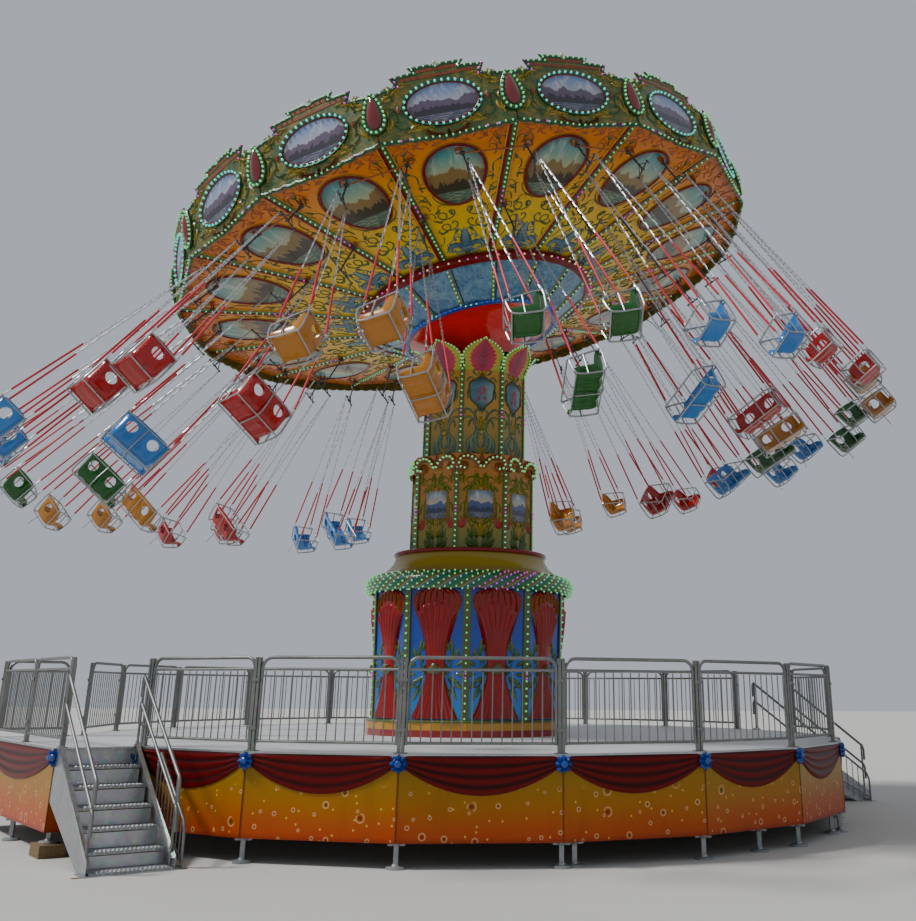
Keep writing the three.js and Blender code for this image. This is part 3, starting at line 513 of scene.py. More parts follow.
def base_band_finish():
    """The drum's foot: a yellow band over a red one."""
    paint = Paint("drum_foot_bands")
    _, _, z = paint.axes()
    base = paint.mix(z > BAND_JOINT, "#8f1014", "#c2941c")
    base = paint.mix(paint.noise(6, 5) * 0.4, base, "#6b4a24", "MULTIPLY")
    return paint.finish(base, 0.3, 0.0, paint.noise(90, 2), 0.0004, 0.4)


def spiral_finish():
    """The cornice: slanting bands of green, brown and a little violet round the drum."""
    paint = Paint("cornice_spiral")
    u, v = paint.on_map()
    band = (u * CORNICE_BANDS - v * CORNICE_LEAN) % 1.0
    base = paint.ramp(
        band, (0.0, "#17503a"), (0.3, "#2a7348"), (0.36, "#4a4a30"), (0.6, "#5f5c38"), (0.66, "#9a8444"),
        (0.74, "#2a5c68"),
    )
    violet = paint.step(abs(u - 0.52), 0.07, 0.03)
    base = paint.mix(violet * 0.7, base, "#38175e")
    return paint.finish(base, paint.noise(8, 4) * 0.2 + 0.2, 0.0, paint.noise(60, 3), 0.0008, 0.4)


def cove_finish():
    paint = Paint("cove_olive")
    _, _, z = paint.axes()
    cloud = paint.noise(1.3, 4)
    base = paint.ramp((z - 3.7) / 0.36 + cloud * 0.3 - 0.15, (0.0, "#8a805a"), (0.35, "#96862e"),
                      (0.9, "#8c7a0e"), (1.0, "#7d6c0c"))
    return paint.enamel(base, cloud * 0.15 + 0.3, 0.35)


def disc_finish():
    """Blue gores, mottled as if marbled."""
    paint = Paint("disc_marbled_blue")
    swirl = paint.noise(3.4, 7, 0.68, 1.6)
    base = paint.ramp(swirl, (0.3, "#34587c"), (0.45, "#4c7698"), (0.56, "#6c90aa"), (0.68, "#a2b8c2"))
    line = paint.step(abs(paint.noise(5.5, 2, 0.5, 3.2) - 0.5), 0.03, 0.0)
    base = paint.mix(line * 0.45, base, "#b5cdd2")
    return paint.finish(base, swirl * 0.25 + 0.16, 0.0, swirl + line * 0.5, 0.005, 0.5)


def bell_finish():
    """Glossy red with faint wavy lines pressed into it."""
    paint = Paint("bell_red_gloss")
    waves = paint.noise(7, 3, 0.5, 3.5)
    line = paint.step(abs(waves - 0.5), 0.022, 0.0)
    base = paint.mix(paint.noise(2.2, 3), "#c8241a", "#f03e2c")
    base = paint.mix(line * 0.4, base, "#ee7a58")
    return paint.finish(base, 0.14, 0.0, line, 0.0015, 0.9)


def picture_finish(name, sky, glow, far, near, water):
    """A generic evening landscape: sky, two ranges of hills, and water with bands of light."""
    paint = Paint(name)
    u, v = paint.on_map()
    shifted = paint.vectors("ADD", paint.flat(u * 2, v * 0.6), paint.where())
    hills = paint.noise(1.5, 5, 0.55, 0.3, shifted)
    crowns = paint.noise(6, 4, 0.6, 0.2, shifted)
    base = paint.mix(paint.step(v, 0.35, 0.95), glow, sky)
    clouds = paint.step(paint.noise(3, 5, 0.6, 0.6, shifted), 0.5, 0.68) * paint.step(v, 0.5, 0.7)
    base = paint.mix(clouds * 0.6, base, "#d9d6cc")
    base = paint.mix(paint.step(hills * 0.6 + 0.28 - v, -0.012, 0.012), base, far)
    base = paint.mix(paint.step(crowns * 0.4 + hills * 0.2 + 0.1 - v, -0.012, 0.012), base, near)
    ripple = paint.noise(9, 3, 0.5, 0.2, paint.flat(u * 0.8, v * 6))
    lake = paint.mix(paint.step(ripple, 0.5, 0.6) * 0.6, water, glow)
    base = paint.mix(paint.step(v, 0.235, 0.215), base, lake)
    rim = paint.maths("SQRT", (u - 0.5) ** 2.0 + (v - 0.5) ** 2.0)
    base = paint.mix(paint.step(rim, 0.36, 0.52) * 0.5, base, "#2b2420")
    return paint.finish(base, 0.3, 0.0, paint.noise(60, 3), 0.0004, 0.4)


def petal_finish():
    """Magenta petals that end in yellow feathers."""
    paint = Paint("petal_magenta")
    u, v = paint.on_map()
    side = abs(u * 2 - 1)
    reach = side * 1.2 + (v - 0.42) ** 2.0 * 1.3
    feather = paint.maths("SINE", (v * 2.4 - side * 0.8) * 24.0) * 0.06
    base = paint.ramp(
        reach + feather, (0.0, "#7d0f36"), (0.5, "#a8164a"), (0.72, "#b52c40"), (0.80, "#c9a83a"),
        (1.0, "#9fae36"),
    )
    vein = paint.step(abs(feather), 0.012, 0.0) * paint.step(reach, 0.72, 0.55)
    base = paint.mix(vein * 0.5, base, "#5d0a2c")
    return paint.finish(base, 0.3, 0.0, feather, 0.03, 0.4)


def fan_finish():
    """Glossy dark red relief with light on its ridges."""
    paint = Paint("fan_red_gloss")
    base = paint.mix(paint.noise(3, 4), "#760a0b", "#9a110f")
    base = paint.mix(paint.step(paint.noise(6, 6, stretch=(1, 1, 0.2)), 0.5, 0.8) * 0.4, base, "#45060a")
    return paint.finish(base, 0.2, 0.0, paint.noise(70, 3), 0.0004, 0.3, shine=0.35)


def seat_finish(name, colour, dark):
    """Moulded glass-fibre: gel coat, scuffs and sun-faded patches."""
    paint = Paint(name)
    base = paint.mix(paint.noise(2.4, 5), colour, dark)
    scuffs = paint.step(paint.noise(24, 7, 0.7, stretch=(1, 3, 1)), 0.6, 0.72) * 0.3
    base = paint.mix(scuffs, base, "#d8d2c4")
    return paint.enamel(base, paint.noise(14, 4) * 0.2 + 0.12, 0.4, 150, 0.4)


def sleeve_finish():
    """Red plastic sleeves, paler where the sun has bleached them."""
    paint = Paint("chain_sleeve_red")
    base = paint.mix(paint.step(paint.noise(1.4, 4), 0.4, 0.65), "#a80f24", "#c8364a")
    return paint.finish(base, 0.42, 0.0, paint.noise(60, 4), 0.001, 0.1)


def bulb_finish(name, colour, glow):
    """A lamp's coloured cap, lit from inside."""
    paint = Paint(name)
    base = paint.mix(paint.noise(40, 2), colour, glow)
    return paint.finish(base, 0.25, 0.0, paint.noise(200, 2), 0.0003, 0.4, glow, 0.6)


def roof_finish():
    """The crown's cover: pale coated cloth, dusty where rain runs off."""
    paint = Paint("roof_cover_cloth")
    dust = paint.noise(1.1, 6, 0.6, 0.4)
    weave = paint.noise(220, 2)
    base = paint.mix(paint.step(dust, 0.35, 0.75), "#cfc9b8", "#a29880")
    return paint.finish(base, 0.62, 0.0, weave * 0.3 + dust, 0.003)


FINISH = {
    "fence": metal_finish("galvanised_tube", "#9c9d9a", "#6f716f", 0.42, 0.75),
    "leg": metal_finish("jack_steel", "#b9bbba", "#7f8284", 0.42, 0.6),
    "dark_steel": metal_finish("dark_steel", "#4c5054", "#2b2e31", 0.42, 0.8),
    "stair": metal_finish("mill_aluminium", "#c9cbcc", "#9a9da0", 0.3, 0.85, 18.0, (1, 1, 0.3)),
    "tread": tread_finish("tread_plate", "#d2d3d2", "#86888a", 0.045, 0.75),
    "deck": tread_finish("deck_plate", "#f0f0ee", "#c4c6c8", 0.06, 0.25, 0.45),
    "chain": metal_finish("zinc_chain", "#e6e8ea", "#b4babe", 0.3, 0.7),
    "frame_tube": metal_finish("chair_frame_steel", "#c6c8c8", "#8c9092", 0.35, 0.7),
    "hanger": metal_finish("hanger_steel", "#6a6e73", "#3d4044", 0.42, 0.6),
    "timber": timber_finish(),
    "skirt": skirt_finish(),
    "swag": swag_finish(),
    "rosette": gloss_paint("rosette_blue", "#17357d", "#234f9c"),
    "shade_brown": gloss_paint("seam_brown", "#5a3408", "#6a400c", coat=0.1, shine=0.3),
    "shaft": gloss_paint("shaft_orange", "#a8640a", "#8a4a08"),
    "maroon": gloss_paint("maroon_trim", "#64090e", "#7e1116", coat=0.15, shine=0.3),
    "cream": gloss_paint("cream_line", "#d8b873", "#c79a52"),
    "gold": gloss_paint("gold_trim", "#a98a3c", "#7b6426", 0.35, 0.3),
    "batten": gloss_paint("olive_batten", "#5d6a3a", "#3f4a2a", 0.35, 0.3),
    "terracotta": gloss_paint("terracotta_panel", "#8a4422", "#6d3418", 0.4, 0.2),
    "teal": gloss_paint("teal_border", "#0f3d2c", "#1c5a48"),
    "rim_green": gloss_paint("rim_green", "#12301a", "#234a24", 0.35, 0.3),
    "jewel": gloss_paint("jewel_red", "#5c070c", "#7d0d12", 0.12, 0.9),
    "cup": gloss_paint("cup_olive", "#6f6a3c", "#4a4826", 0.35, 0.3),
    "white": gloss_paint("finial_white", "#cfcabd", "#b9b09a"),
    "green_stroke": ornament_finish("scroll_green", "#1c3214", "#3d5a1c", "#66741e"),
    "gold_stroke": ornament_finish("acanthus_gold", "#3c4a1e", "#9c8a34", "#c9a94a"),
    "rust_stroke": ornament_finish("scroll_rust", "#7d3a0a", "#b0600f", "#c97f1c"),
    "leaf_stroke": ornament_finish("leaf_green", "#1c3524", "#3f6440", "#82904a"),
    "sage_stroke": ornament_finish("scroll_sage", "#26403a", "#5f7c6c", "#939c72"),
    "olive_stroke": ornament_finish("scroll_olive", "#34421a", "#6f7c34", "#9c9a48"),
    "blue_stroke": ornament_finish("lily_blue", "#1c2c36", "#55788a", "#8aa3a2"),
    "dark_stroke": ornament_finish("carving_brown", "#23140a", "#5a3418", "#8a5a28"),
    "rose_stroke": ornament_finish("rose_pink", "#5a0f2a", "#c0264a", "#d8506a"),
    "red_stroke": ornament_finish("petal_red", "#4a0e10", "#a3201d", "#c8502c"),
    "underside": underside_finish(),
    "board": board_finish(),
    "tower_lower": tower_finish("tower_orange_spray", "#747636", "#ae7410", COLLAR_TOP, 5.5),
    "tower_upper": tower_finish("tower_olive_spray", "#767448", "#b88c18", 5.5, 6.9),
    "drum": drum_finish(),
    "base_bands": base_band_finish(),
    "spiral": spiral_finish(),
    "cove": cove_finish(),
    "disc": disc_finish(),
    "bell": bell_finish(),
    "rim_picture": picture_finish("rim_picture", "#7f93b8", "#b9b3b4", "#5d5064", "#2b2530", "#3a4258"),
    "sail_picture": picture_finish(
        "underside_picture", "#5f9a9c", "#c9c49a", "#8a7450", "#3a3326", "#4d6a60",
    ),
    "tower_picture": picture_finish("tower_picture", "#8a9aa8", "#c9b99a", "#4a5a80", "#27304a", "#3a4a6a"),
    "petal": petal_finish(),
    "fan": fan_finish(),
    "seat_blue": seat_finish("seat_blue", "#2862ac", "#5a94cc"),
    "seat_red": seat_finish("seat_red", "#8a0a10", "#b01216"),
    "seat_yellow": seat_finish("seat_yellow", "#a06802", "#c08808"),
    "seat_green": seat_finish("seat_green", "#0f420c", "#1e6418"),
    "sleeve": sleeve_finish(),
    "bulb_green": bulb_finish("bulb_green", "#bfe8bc", "#8ade9a"),
    "bulb_teal": bulb_finish("bulb_teal", "#bff0e4", "#7fe6d2"),
    "bulb_pink": bulb_finish("bulb_pink", "#e08ad0", "#c850b8"),
    "bulb_white": bulb_finish("bulb_white", "#f4efe0", "#e8dcb8"),
    "bulb_blue": bulb_finish("bulb_blue", "#4a6ae0", "#2a48d8"),
    "roof": roof_finish(),
}


# Geometry
def in_scene(name, data):
    """A new object in the scene."""
    made = bpy.data.objects.new(name, data)
    bpy.context.scene.collection.objects.link(made)
    return made


def baked(holder):
    """The mesh of an object with its modifiers applied; the object itself goes."""
    bpy.context.view_layer.update()
    made = bpy.data.meshes.new_from_object(holder.evaluated_get(bpy.context.evaluated_depsgraph_get()))
    bpy.data.objects.remove(holder)
    return made


class Form:
    """Points, faces and a map for each face corner: a piece's mesh in the making."""

    def __init__(self):
        self.points = []
        self.faces = {}
        self.maps = {}
        self.count = 0

    def add(self, points, faces, maps):
        """Faces are rows of point numbers, all of one length; maps hold a pair for each of them."""
        faces = np.asarray(faces, int)
        size = faces.shape[1]
        self.faces.setdefault(size, []).append(faces + self.count)
        self.maps.setdefault(size, []).append(np.asarray(maps, float).reshape(len(faces), size, 2))
        points = np.asarray(points, float).reshape(-1, 3)
        if len(points):
            self.points.append(points)
            self.count += len(points)

    def sheet(self, grid, wrap_u=False, wrap_v=False, repeat_u=1):
        """Quads over grid[u, v]. A wrapped direction closes on itself."""
        nu, nv = grid.shape[:2]
        iu, iv = np.meshgrid(np.arange(nu - (not wrap_u)), np.arange(nv - (not wrap_v)), indexing="ij")
        iu, iv = iu.ravel(), iv.ravel()
        ju, jv = (iu + 1) % nu, (iv + 1) % nv
        faces = np.stack((iu * nv + iv, ju * nv + iv, ju * nv + jv, iu * nv + jv), 1)
        span_u, span_v = nu - (not wrap_u), nv - (not wrap_v)
        share = repeat_u / span_u
        low = iu * share % 1.0
        maps = np.stack((low, iv / span_v, low + share, iv / span_v, low + share, (iv + 1) / span_v, low,
                         (iv + 1) / span_v), 1)
        self.add(grid.reshape(-1, 3), faces, maps)

    def cap(self, grid_row, start):
        """One flat face over a row of points that are already in the form."""
        size = len(grid_row)
        self.add([], [np.arange(start, start + size) - self.count], np.full((1, size, 2), 0.5))

    def shell(self, grid):
        """A sheet closed on itself along v, with a flat face over its first and its last row."""
        start = self.count
        self.sheet(grid, wrap_v=True)
        for row in (0, len(grid) - 1):
            self.cap(grid[row], start + row * grid.shape[1])

    def fold_map(self):
        """Makes the last sheet's map run over its front and back again over its rear."""
        last = self.maps[4][-1]
        last[..., 1] = np.minimum(last[..., 1] * 2, 2 - last[..., 1] * 2)

    def tube(self, path, radius, sides=8, closed=False, flat=1.0):
        """A round bar along a path, with its ends closed."""
        path = np.asarray(path, float)
        radius = np.broadcast_to(radius, len(path))
        if closed:
            tangents = np.roll(path, -1, 0) - np.roll(path, 1, 0)
        else:
            tangents = np.gradient(path, axis=0)
        tangents /= np.linalg.norm(tangents, axis=1)[:, None]
        side = np.cross(tangents[0], UP)
        if np.linalg.norm(side) < 0.1:
            side = np.cross(tangents[0], (1.0, 0.0, 0.0))
        sides_at = []
        for tangent in tangents:
            side = unit(side - tangent * side.dot(tangent))
            sides_at.append(side)
        sides_at = np.array(sides_at)
        others = np.cross(tangents, sides_at)
        turn = np.arange(sides) * FULL_TURN / sides
        cosine, sine = (f(turn)[None, :, None] for f in (np.cos, np.sin))
        ring = cosine * sides_at[:, None] + flat * sine * others[:, None]
        grid = path[:, None] + radius[:, None, None] * ring
        if closed:
            self.sheet(grid, wrap_u=True, wrap_v=True)
        else:
            self.shell(grid)

    def turned(self, profile, steps, sides=None, turn=0.0, closed=False):
        """A body of revolution about Z, or one with flat sides whose corners start at turn."""
        azimuths = turn + np.arange(steps) * FULL_TURN / steps
        if sides:
            share = np.arange(steps) * sides / steps
            first = np.floor(share + 1e-9)
            part = share - first
            here, ahead = (turn + k * FULL_TURN / sides for k in (first, first + 1))
            corners = [np.stack((np.sin(a), -np.cos(a)), 1) for a in (here, ahead)]
            flat = corners[0] * (1 - part)[:, None] + corners[1] * part[:, None]
        else:
            flat = np.stack((np.sin(azimuths), -np.cos(azimuths)), 1)
        profile = np.asarray(profile, float)
        poles = [i for i in (0, len(profile) - 1) if profile[i, 0] < 1e-6 and not closed]
        kept = np.array([p for i, p in enumerate(profile) if i not in poles])
        heights = np.broadcast_to(kept[None, :, 1:], (steps, len(kept), 1))
        grid = np.concatenate((flat[:, None, :] * kept[None, :, :1], heights), 2)
        start = self.count
        self.sheet(grid, wrap_u=True, wrap_v=closed, repeat_u=sides or 1)
        for i in poles:
            row = start + np.arange(steps) * len(kept) + (0 if i == 0 else len(kept) - 1)
            tip = self.count
            faces = np.stack((row, np.roll(row, -1), np.full(steps, tip)), 1) - tip
            self.add([(0, 0, profile[i, 1])], faces, np.full((steps, 3, 2), 0.5))

    def prism(self, outline, depth, matrix=None, bevel=0.0):
        """A flat outline drawn in x and y, thick along z, with its upper edge drawn in by a bevel."""
        outline = np.asarray(outline, float)
        before = outline - np.roll(outline, 1, 0)
        after = np.roll(outline, -1, 0) - outline
        x, y = outline.T
        area = np.sum(x * np.roll(y, -1) - np.roll(x, -1) * y)
        if area < 0:
            return self.prism(outline[::-1], depth, matrix, bevel)
        normals = np.stack((-(before + after)[:, 1], (before + after)[:, 0]), 1)
        normals /= np.linalg.norm(normals, axis=1)[:, None] + 1e-12
        inner = outline + normals * bevel
        levels = [(outline, 0.0), (outline, depth - bevel)]
        if bevel:
            levels.append((inner, depth))
        grid = np.stack([raised(o, z) for o, z in levels])
        flat = grid.reshape(-1, 3)
        if matrix is not None:
            flat = transformed(flat, matrix)
        n = len(outline)
        start = self.count
        self.sheet(flat.reshape(len(levels), n, 3), wrap_v=True)
        low, high = outline.min(0), outline.max(0)
        spread = (outline - low) / np.maximum(high - low, 1e-9)
        top = np.arange(start + (len(levels) - 1) * n, start + len(levels) * n)
        self.add([], [top - self.count], spread[None])
        self.add([], [np.arange(start, start + n)[::-1] - self.count], spread[::-1][None])

    def box(self, size, matrix):
        """A bar with sharp edges, centred on the matrix."""
        x, y, z = (s / 2 for s in size)
        outline = [(-x, -y), (x, -y), (x, y), (-x, y)]
        self.prism(outline, 2 * z, matrix @ moved(0, 0, -z))

    def stroke(self, line, width, height, place):
        """A carved stroke with a ridge along a flat line; place turns (x, y, height) into points."""
        line = np.asarray(line, float)
        width = np.broadcast_to(width, len(line))
        ahead = np.gradient(line, axis=0)
        ahead /= np.linalg.norm(ahead, axis=1)[:, None] + 1e-12
        side = np.stack((-ahead[:, 1], ahead[:, 0]), 1)
        most = max(width.max(), 1e-9)
        rows = []
        for across, rise in ((-0.5, 0.0), (0.0, 1.0), (0.5, 0.0)):
            spot = line + side * (across * width)[:, None]
            rows.append(place(np.column_stack((spot, height * rise * (0.4 + 0.6 * width / most)))))
        grid = np.stack(rows, 1)
        n = len(line)
        start = self.count
        iu = np.arange(n - 1)
        u = iu / (n - 1)
        w = (iu + 1) / (n - 1)
        for a, b, va, vb in ((0, 1, 0.0, 0.5), (1, 2, 0.5, 1.0), (2, 0, 1.0, 0.0)):
            faces = np.stack((iu * 3 + a, (iu + 1) * 3 + a, (iu + 1) * 3 + b, iu * 3 + b), 1)
            va_, vb_ = np.full(n - 1, va), np.full(n - 1, vb)
            maps = np.stack((u, va_, w, va_, w, vb_, u, vb_), 1)
            if a == 0:
                self.add(grid.reshape(-1, 3), faces, maps)
            else:
                self.add([], faces + start - self.count, maps)
        for row in (0, n - 1):
            self.cap(grid[row], start + row * 3)

    def strokes(self, strokes, place, height):
        for line, width in strokes:
            self.stroke(line, width, height, place)

    def hoop(self, outline, place, height, radius, sides, flat=1.0):
        """A closed tube along a flat outline."""
        self.tube(loop_path(outline, place, height), radius, sides, True, flat)

    def include(self, other, matrix=None):
        """Adds another form, moved by a matrix."""
        points = np.concatenate(other.points)
        start = self.count
        self.points.append(transformed(points, matrix) if matrix is not None else points)
        self.count += len(points)
        for size, chunks in other.faces.items():
            for faces, maps in zip(chunks, other.maps[size]):
                self.faces.setdefault(size, []).append(faces + start)
                self.maps.setdefault(size, []).append(maps)

    def mesh(self, name):
        made = bpy.data.meshes.new(name)
        faces = [row for size in self.faces for chunk in self.faces[size] for row in chunk.tolist()]
        made.from_pydata(np.concatenate(self.points).tolist(), [], faces)
        layer = made.uv_layers.new(name="UVMap")
        layer.data.foreach_set("uv",
                               np.concatenate([m.ravel() for size in self.faces for m in self.maps[size]]))
        return made


def strip(half, length, middle=0.0):
    """The outline of a bar that runs up from y = 0."""
    return [(middle - half, 0), (middle + half, 0), (middle + half, length), (middle - half, length)]


def transformed(points, matrix):
    turn = np.array(matrix.to_3x3())
    return points @ turn.T + np.array(matrix.translation)


def on_matrix(matrix):
    """Points by their places in a matrix."""
    return lambda points: transformed(points, matrix)


def form_of(mesh):
    """The form of a finished mesh."""
    form = Form()
    points = np.zeros(len(mesh.vertices) * 3)
    mesh.vertices.foreach_get("co", points)
    form.points.append(points.reshape(-1, 3))
    form.count = len(mesh.vertices)
    totals = np.zeros(len(mesh.polygons), int)
    starts = np.zeros(len(mesh.polygons), int)
    loops = np.zeros(len(mesh.loops), int)
    mesh.polygons.foreach_get("loop_total", totals)
    mesh.polygons.foreach_get("loop_start", starts)
    mesh.loops.foreach_get("vertex_index", loops)
    maps = np.zeros(len(mesh.loops) * 2)
    if mesh.uv_layers:
        mesh.uv_layers[0].data.foreach_get("uv", maps)
    maps = maps.reshape(-1, 2)
    for size in np.unique(totals):
        rows = starts[totals == size][:, None] + np.arange(size)
        form.faces[int(size)] = [loops[rows]]
        form.maps[int(size)] = [maps[rows]]
    return form


def settle(mesh, sharp=40):
    """Turns the faces outwards and smooths all but the sharp edges."""
    work = bmesh.new()
    work.from_mesh(mesh)
    bmesh.ops.recalc_face_normals(work, faces=work.faces)
    work.to_mesh(mesh)
    work.free()
    mesh.shade_smooth()
    mesh.set_sharp_from_angle(angle=rad(sharp))


def dress(mesh, finish):
    mesh.materials.clear()
    mesh.materials.append(FINISH[finish])


def piece(shape, name, finish, body, slot=None, matrix=None, sharp=40, replaces=()):
    """A finished piece of the ride, from a form or a mesh, that moves with a body."""
    mesh = shape.mesh(name) if isinstance(shape, Form) else shape
    mesh.name = name
    if matrix is not None:
        mesh.transform(matrix)
    settle(mesh, sharp)
    dress(mesh, finish)
    made = in_scene(name, mesh)
    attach(made, body)
    if replaces:
        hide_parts(*replaces)
    return made


# Geometry Nodes
class Recipe(Graph):
    """A geometry tree with named inputs that ends in Realize Instances and Set Material."""

    def __init__(self, name, **inputs):
        super().__init__(bpy.data.node_groups.new(name, "GeometryNodeTree"))
        face = self.tree.interface
        face.new_socket("Geometry", in_out="INPUT", socket_type="NodeSocketGeometry")
        for key, kind in inputs.items():
            face.new_socket(key, in_out="INPUT", socket_type=kind)
        face.new_socket("Finish", in_out="INPUT", socket_type="NodeSocketMaterial")
        face.new_socket("Geometry", in_out="OUTPUT", socket_type="NodeSocketGeometry")
        self.given = self.tree.nodes.new("NodeGroupInput")

    def read(self, name):
        return self.out(self.given, name)

    def lifted(self, height):
        """A vector along Z."""
        return self.out(self.node("ShaderNodeCombineXYZ", None, Z=height))

    def spaced(self):
        """Points a Pitch apart along the edges of the given mesh."""
        curve = self.out(self.node("GeometryNodeMeshToCurve", None, Mesh=self.read("Geometry")))
        pitch = self.read("Pitch")
        settings = {"mode": "LENGTH"}
        return self.out(self.node("GeometryNodeResampleCurve", settings, Curve=curve, Length=pitch))

    def facing(self):
        """The rotation whose Z follows the point's own direction, kept in the attribute facing."""
        named = self.node("GeometryNodeInputNamedAttribute", {"data_type": "FLOAT_VECTOR"}, Name="facing")
        way = self.out(named, "Attribute")
        return self.out(self.node("FunctionNodeAlignRotationToVector", {"axis": "Z"}, Vector=way))

    def copies(self, points, thing, rotation=None):
        """Ends the tree with copies of a thing on points, made real and dressed."""
        inputs = {"Points": points, "Instance": thing, "Rotation": rotation}
        placed = self.out(self.node("GeometryNodeInstanceOnPoints", None, **inputs))
        real = self.out(self.node("GeometryNodeRealizeInstances", None, Geometry=placed))
        dressed = self.node("GeometryNodeSetMaterial", None, Geometry=real, Material=self.read("Finish"))
        self.connect(self.out(dressed), self.tree.nodes.new("NodeGroupOutput").inputs[0])
        return self

    def grow(self, mesh, finish, **sizes):
        """The plain mesh that the tree makes of a mesh."""
        holder = in_scene("holder", mesh)
        modifier = holder.modifiers.new("tree", "NODES")
        modifier.node_group = self.tree
        sizes["Finish"] = FINISH[finish]
        for item in self.tree.interface.items_tree:
            if item.item_type == "SOCKET" and item.in_out == "INPUT" and item.name in sizes:
                modifier[item.identifier] = sizes[item.name]
        return baked(holder)


FLOAT = "NodeSocketFloat"
INT = "NodeSocketInt"


def around_recipe():
    """Copies of a mesh, turned about Z at equal angles."""
    tree = Recipe("around_the_axis", Count=INT)
    dots = tree.out(tree.node("GeometryNodePoints", None, Count=tree.read("Count")))
    step = FULL_TURN / tree.read("Count")
    turn = tree.lifted(tree.out(tree.node("GeometryNodeInputIndex")) * step)
    return tree.copies(dots, tree.read("Geometry"), turn)


def lamp_recipe():
    """Lamps along the edges of a mesh: a domed cap, raised a little off the surface."""
    tree = Recipe("lamp_rows", Pitch=FLOAT, Radius=FLOAT)
    radius = tree.read("Radius")
    dome = tree.out(tree.node("GeometryNodeMeshUVSphere", None, Segments=6, Rings=3, Radius=radius), "Mesh")
    lift = tree.lifted(radius * 0.75)
    cap = tree.node("GeometryNodeTransform", None, Geometry=dome, Translation=lift, Scale=(1.0, 1.0, 1.25))
    return tree.copies(tree.spaced(), tree.out(cap), tree.facing())


def bar_recipe():
    """Upright round bars along the edges of a mesh."""
    tree = Recipe("upright_bars", Pitch=FLOAT, Height=FLOAT, Radius=FLOAT)
    height = tree.read("Height")
    rod = tree.node("GeometryNodeMeshCylinder", None, Vertices=8, Radius=tree.read("Radius"), Depth=height)
    lift = tree.lifted(height * 0.5)
    rod = tree.node("GeometryNodeTransform", None, Geometry=tree.out(rod, "Mesh"), Translation=lift)
    return tree.copies(tree.spaced(), tree.out(rod))


def link_recipe():
    """A chain along the edges of a mesh: long links, each a quarter turn from the last."""
    tree = Recipe("chain_links", Pitch=FLOAT, Width=FLOAT, Wire=FLOAT)
    path = tree.node("GeometryNodeCurvePrimitiveQuadrilateral", {"mode": "RECTANGLE"})
    tree.connect(tree.read("Pitch") * 1.25, path.inputs["Width"])
    tree.connect(tree.read("Width"), path.inputs["Height"])
    wire = tree.out(tree.node("GeometryNodeCurvePrimitiveCircle", None, Resolution=3,
                              Radius=tree.read("Wire")))
    link = tree.node("GeometryNodeCurveToMesh", None, Curve=tree.out(path), Profile_Curve=wire)
    tangent = tree.out(tree.node("GeometryNodeInputTangent"))
    lie = tree.out(tree.node("FunctionNodeAlignRotationToVector", {"axis": "X"}, Vector=tangent))
    quarter = (tree.out(tree.node("GeometryNodeInputIndex")) % 2.0) * (math.pi / 2)
    spin = tree.out(tree.node("FunctionNodeAxisAngleToRotation", None, Axis=(1.0, 0.0, 0.0), Angle=quarter))
    turn = tree.node("FunctionNodeRotateRotation", {"rotation_space": "LOCAL"}, Rotation=lie,
                     Rotate_By=spin)
    return tree.copies(tree.spaced(), tree.out(link, "Mesh"), tree.out(turn))


def tooth_recipe():
    """Small square teeth along the edges of a mesh, as on a stair's nosing."""
    tree = Recipe("nosing_teeth", Pitch=FLOAT, Size=FLOAT)
    size = tree.read("Size")
    tooth = tree.node("GeometryNodeMeshCone", None, Vertices=4, Radius_Top=size * 0.4, Radius_Bottom=size)
    tree.connect(size * 0.7, tooth.inputs["Depth"])
    return tree.copies(tree.spaced(), tree.out(tooth, "Mesh"), tree.facing())


AROUND = around_recipe()
LAMPS = lamp_recipe()
BARS = bar_recipe()
LINKS = link_recipe()
TEETH = tooth_recipe()


def rows_mesh(rows):
    """A mesh of edges with a facing at each point. A row is (points, facings), and True if closed."""
    points, facings, edges = [], [], []
    for line, facing, *closed in rows:
        start = len(points)
        line = np.asarray(line, float)
        facing = np.broadcast_to(facing, line.shape)
        points.extend(line.tolist())
        facings.extend(facing.tolist())
        edges.extend((start + i, start + i + 1) for i in range(len(line) - 1))
        if closed:
            edges.append((start + len(line) - 1, start))
    mesh = bpy.data.meshes.new("rows")
    mesh.from_pydata(points, edges, [])
    attribute = mesh.attributes.new("facing", "FLOAT_VECTOR", "POINT")
    attribute.data.foreach_set("vector", np.array(facings).ravel())
    return mesh


LAMP_RADIUS = 0.018
LAMP_PITCH = 0.1


def lamps(rows, name, colour, body, matrix=None, pitch=LAMP_PITCH, radius=LAMP_RADIUS):
    mesh = LAMPS.grow(rows_mesh(rows), "bulb_" + colour, Pitch=pitch, Radius=radius)
    return piece(mesh, name, "bulb_" + colour, body, matrix=matrix)


def around(form, count, finish):
    """A form repeated about Z at equal angles."""
    return AROUND.grow(form.mesh("one"), finish, Count=count)


def repeated(rows, count, body, matrix=None):
    """Pieces repeated about the axis, from rows of form, finish, name and slot."""
    for form, finish, name, slot in rows:
        piece(around(form, count, finish), name, finish, body, slot, matrix)


# Drawing: flat lines and their widths
def curl(start, heading, length, bend=0.0, tighten=0.0, steps=10):
    """A line whose heading turns by bend over its length, and by tighten mostly near its end, in degrees."""
    t = np.linspace(0, 1, steps + 1)
    angle = rad(heading) + rad(bend) * t + rad(tighten) * t**3
    middle = (angle[1:] + angle[:-1]) / 2
    moves = np.stack((np.cos(middle), np.sin(middle)), 1) * (length / steps)
    return np.concatenate(([start], np.asarray(start) + np.cumsum(moves, 0)))


def leaf(width, line):
    t = np.linspace(0, 1, len(line))
    return width * np.sin(math.pi * t**0.75) ** 0.8 + 0.004


def taper(width, line, end=0.25):
    return width * np.linspace(1, end, len(line))


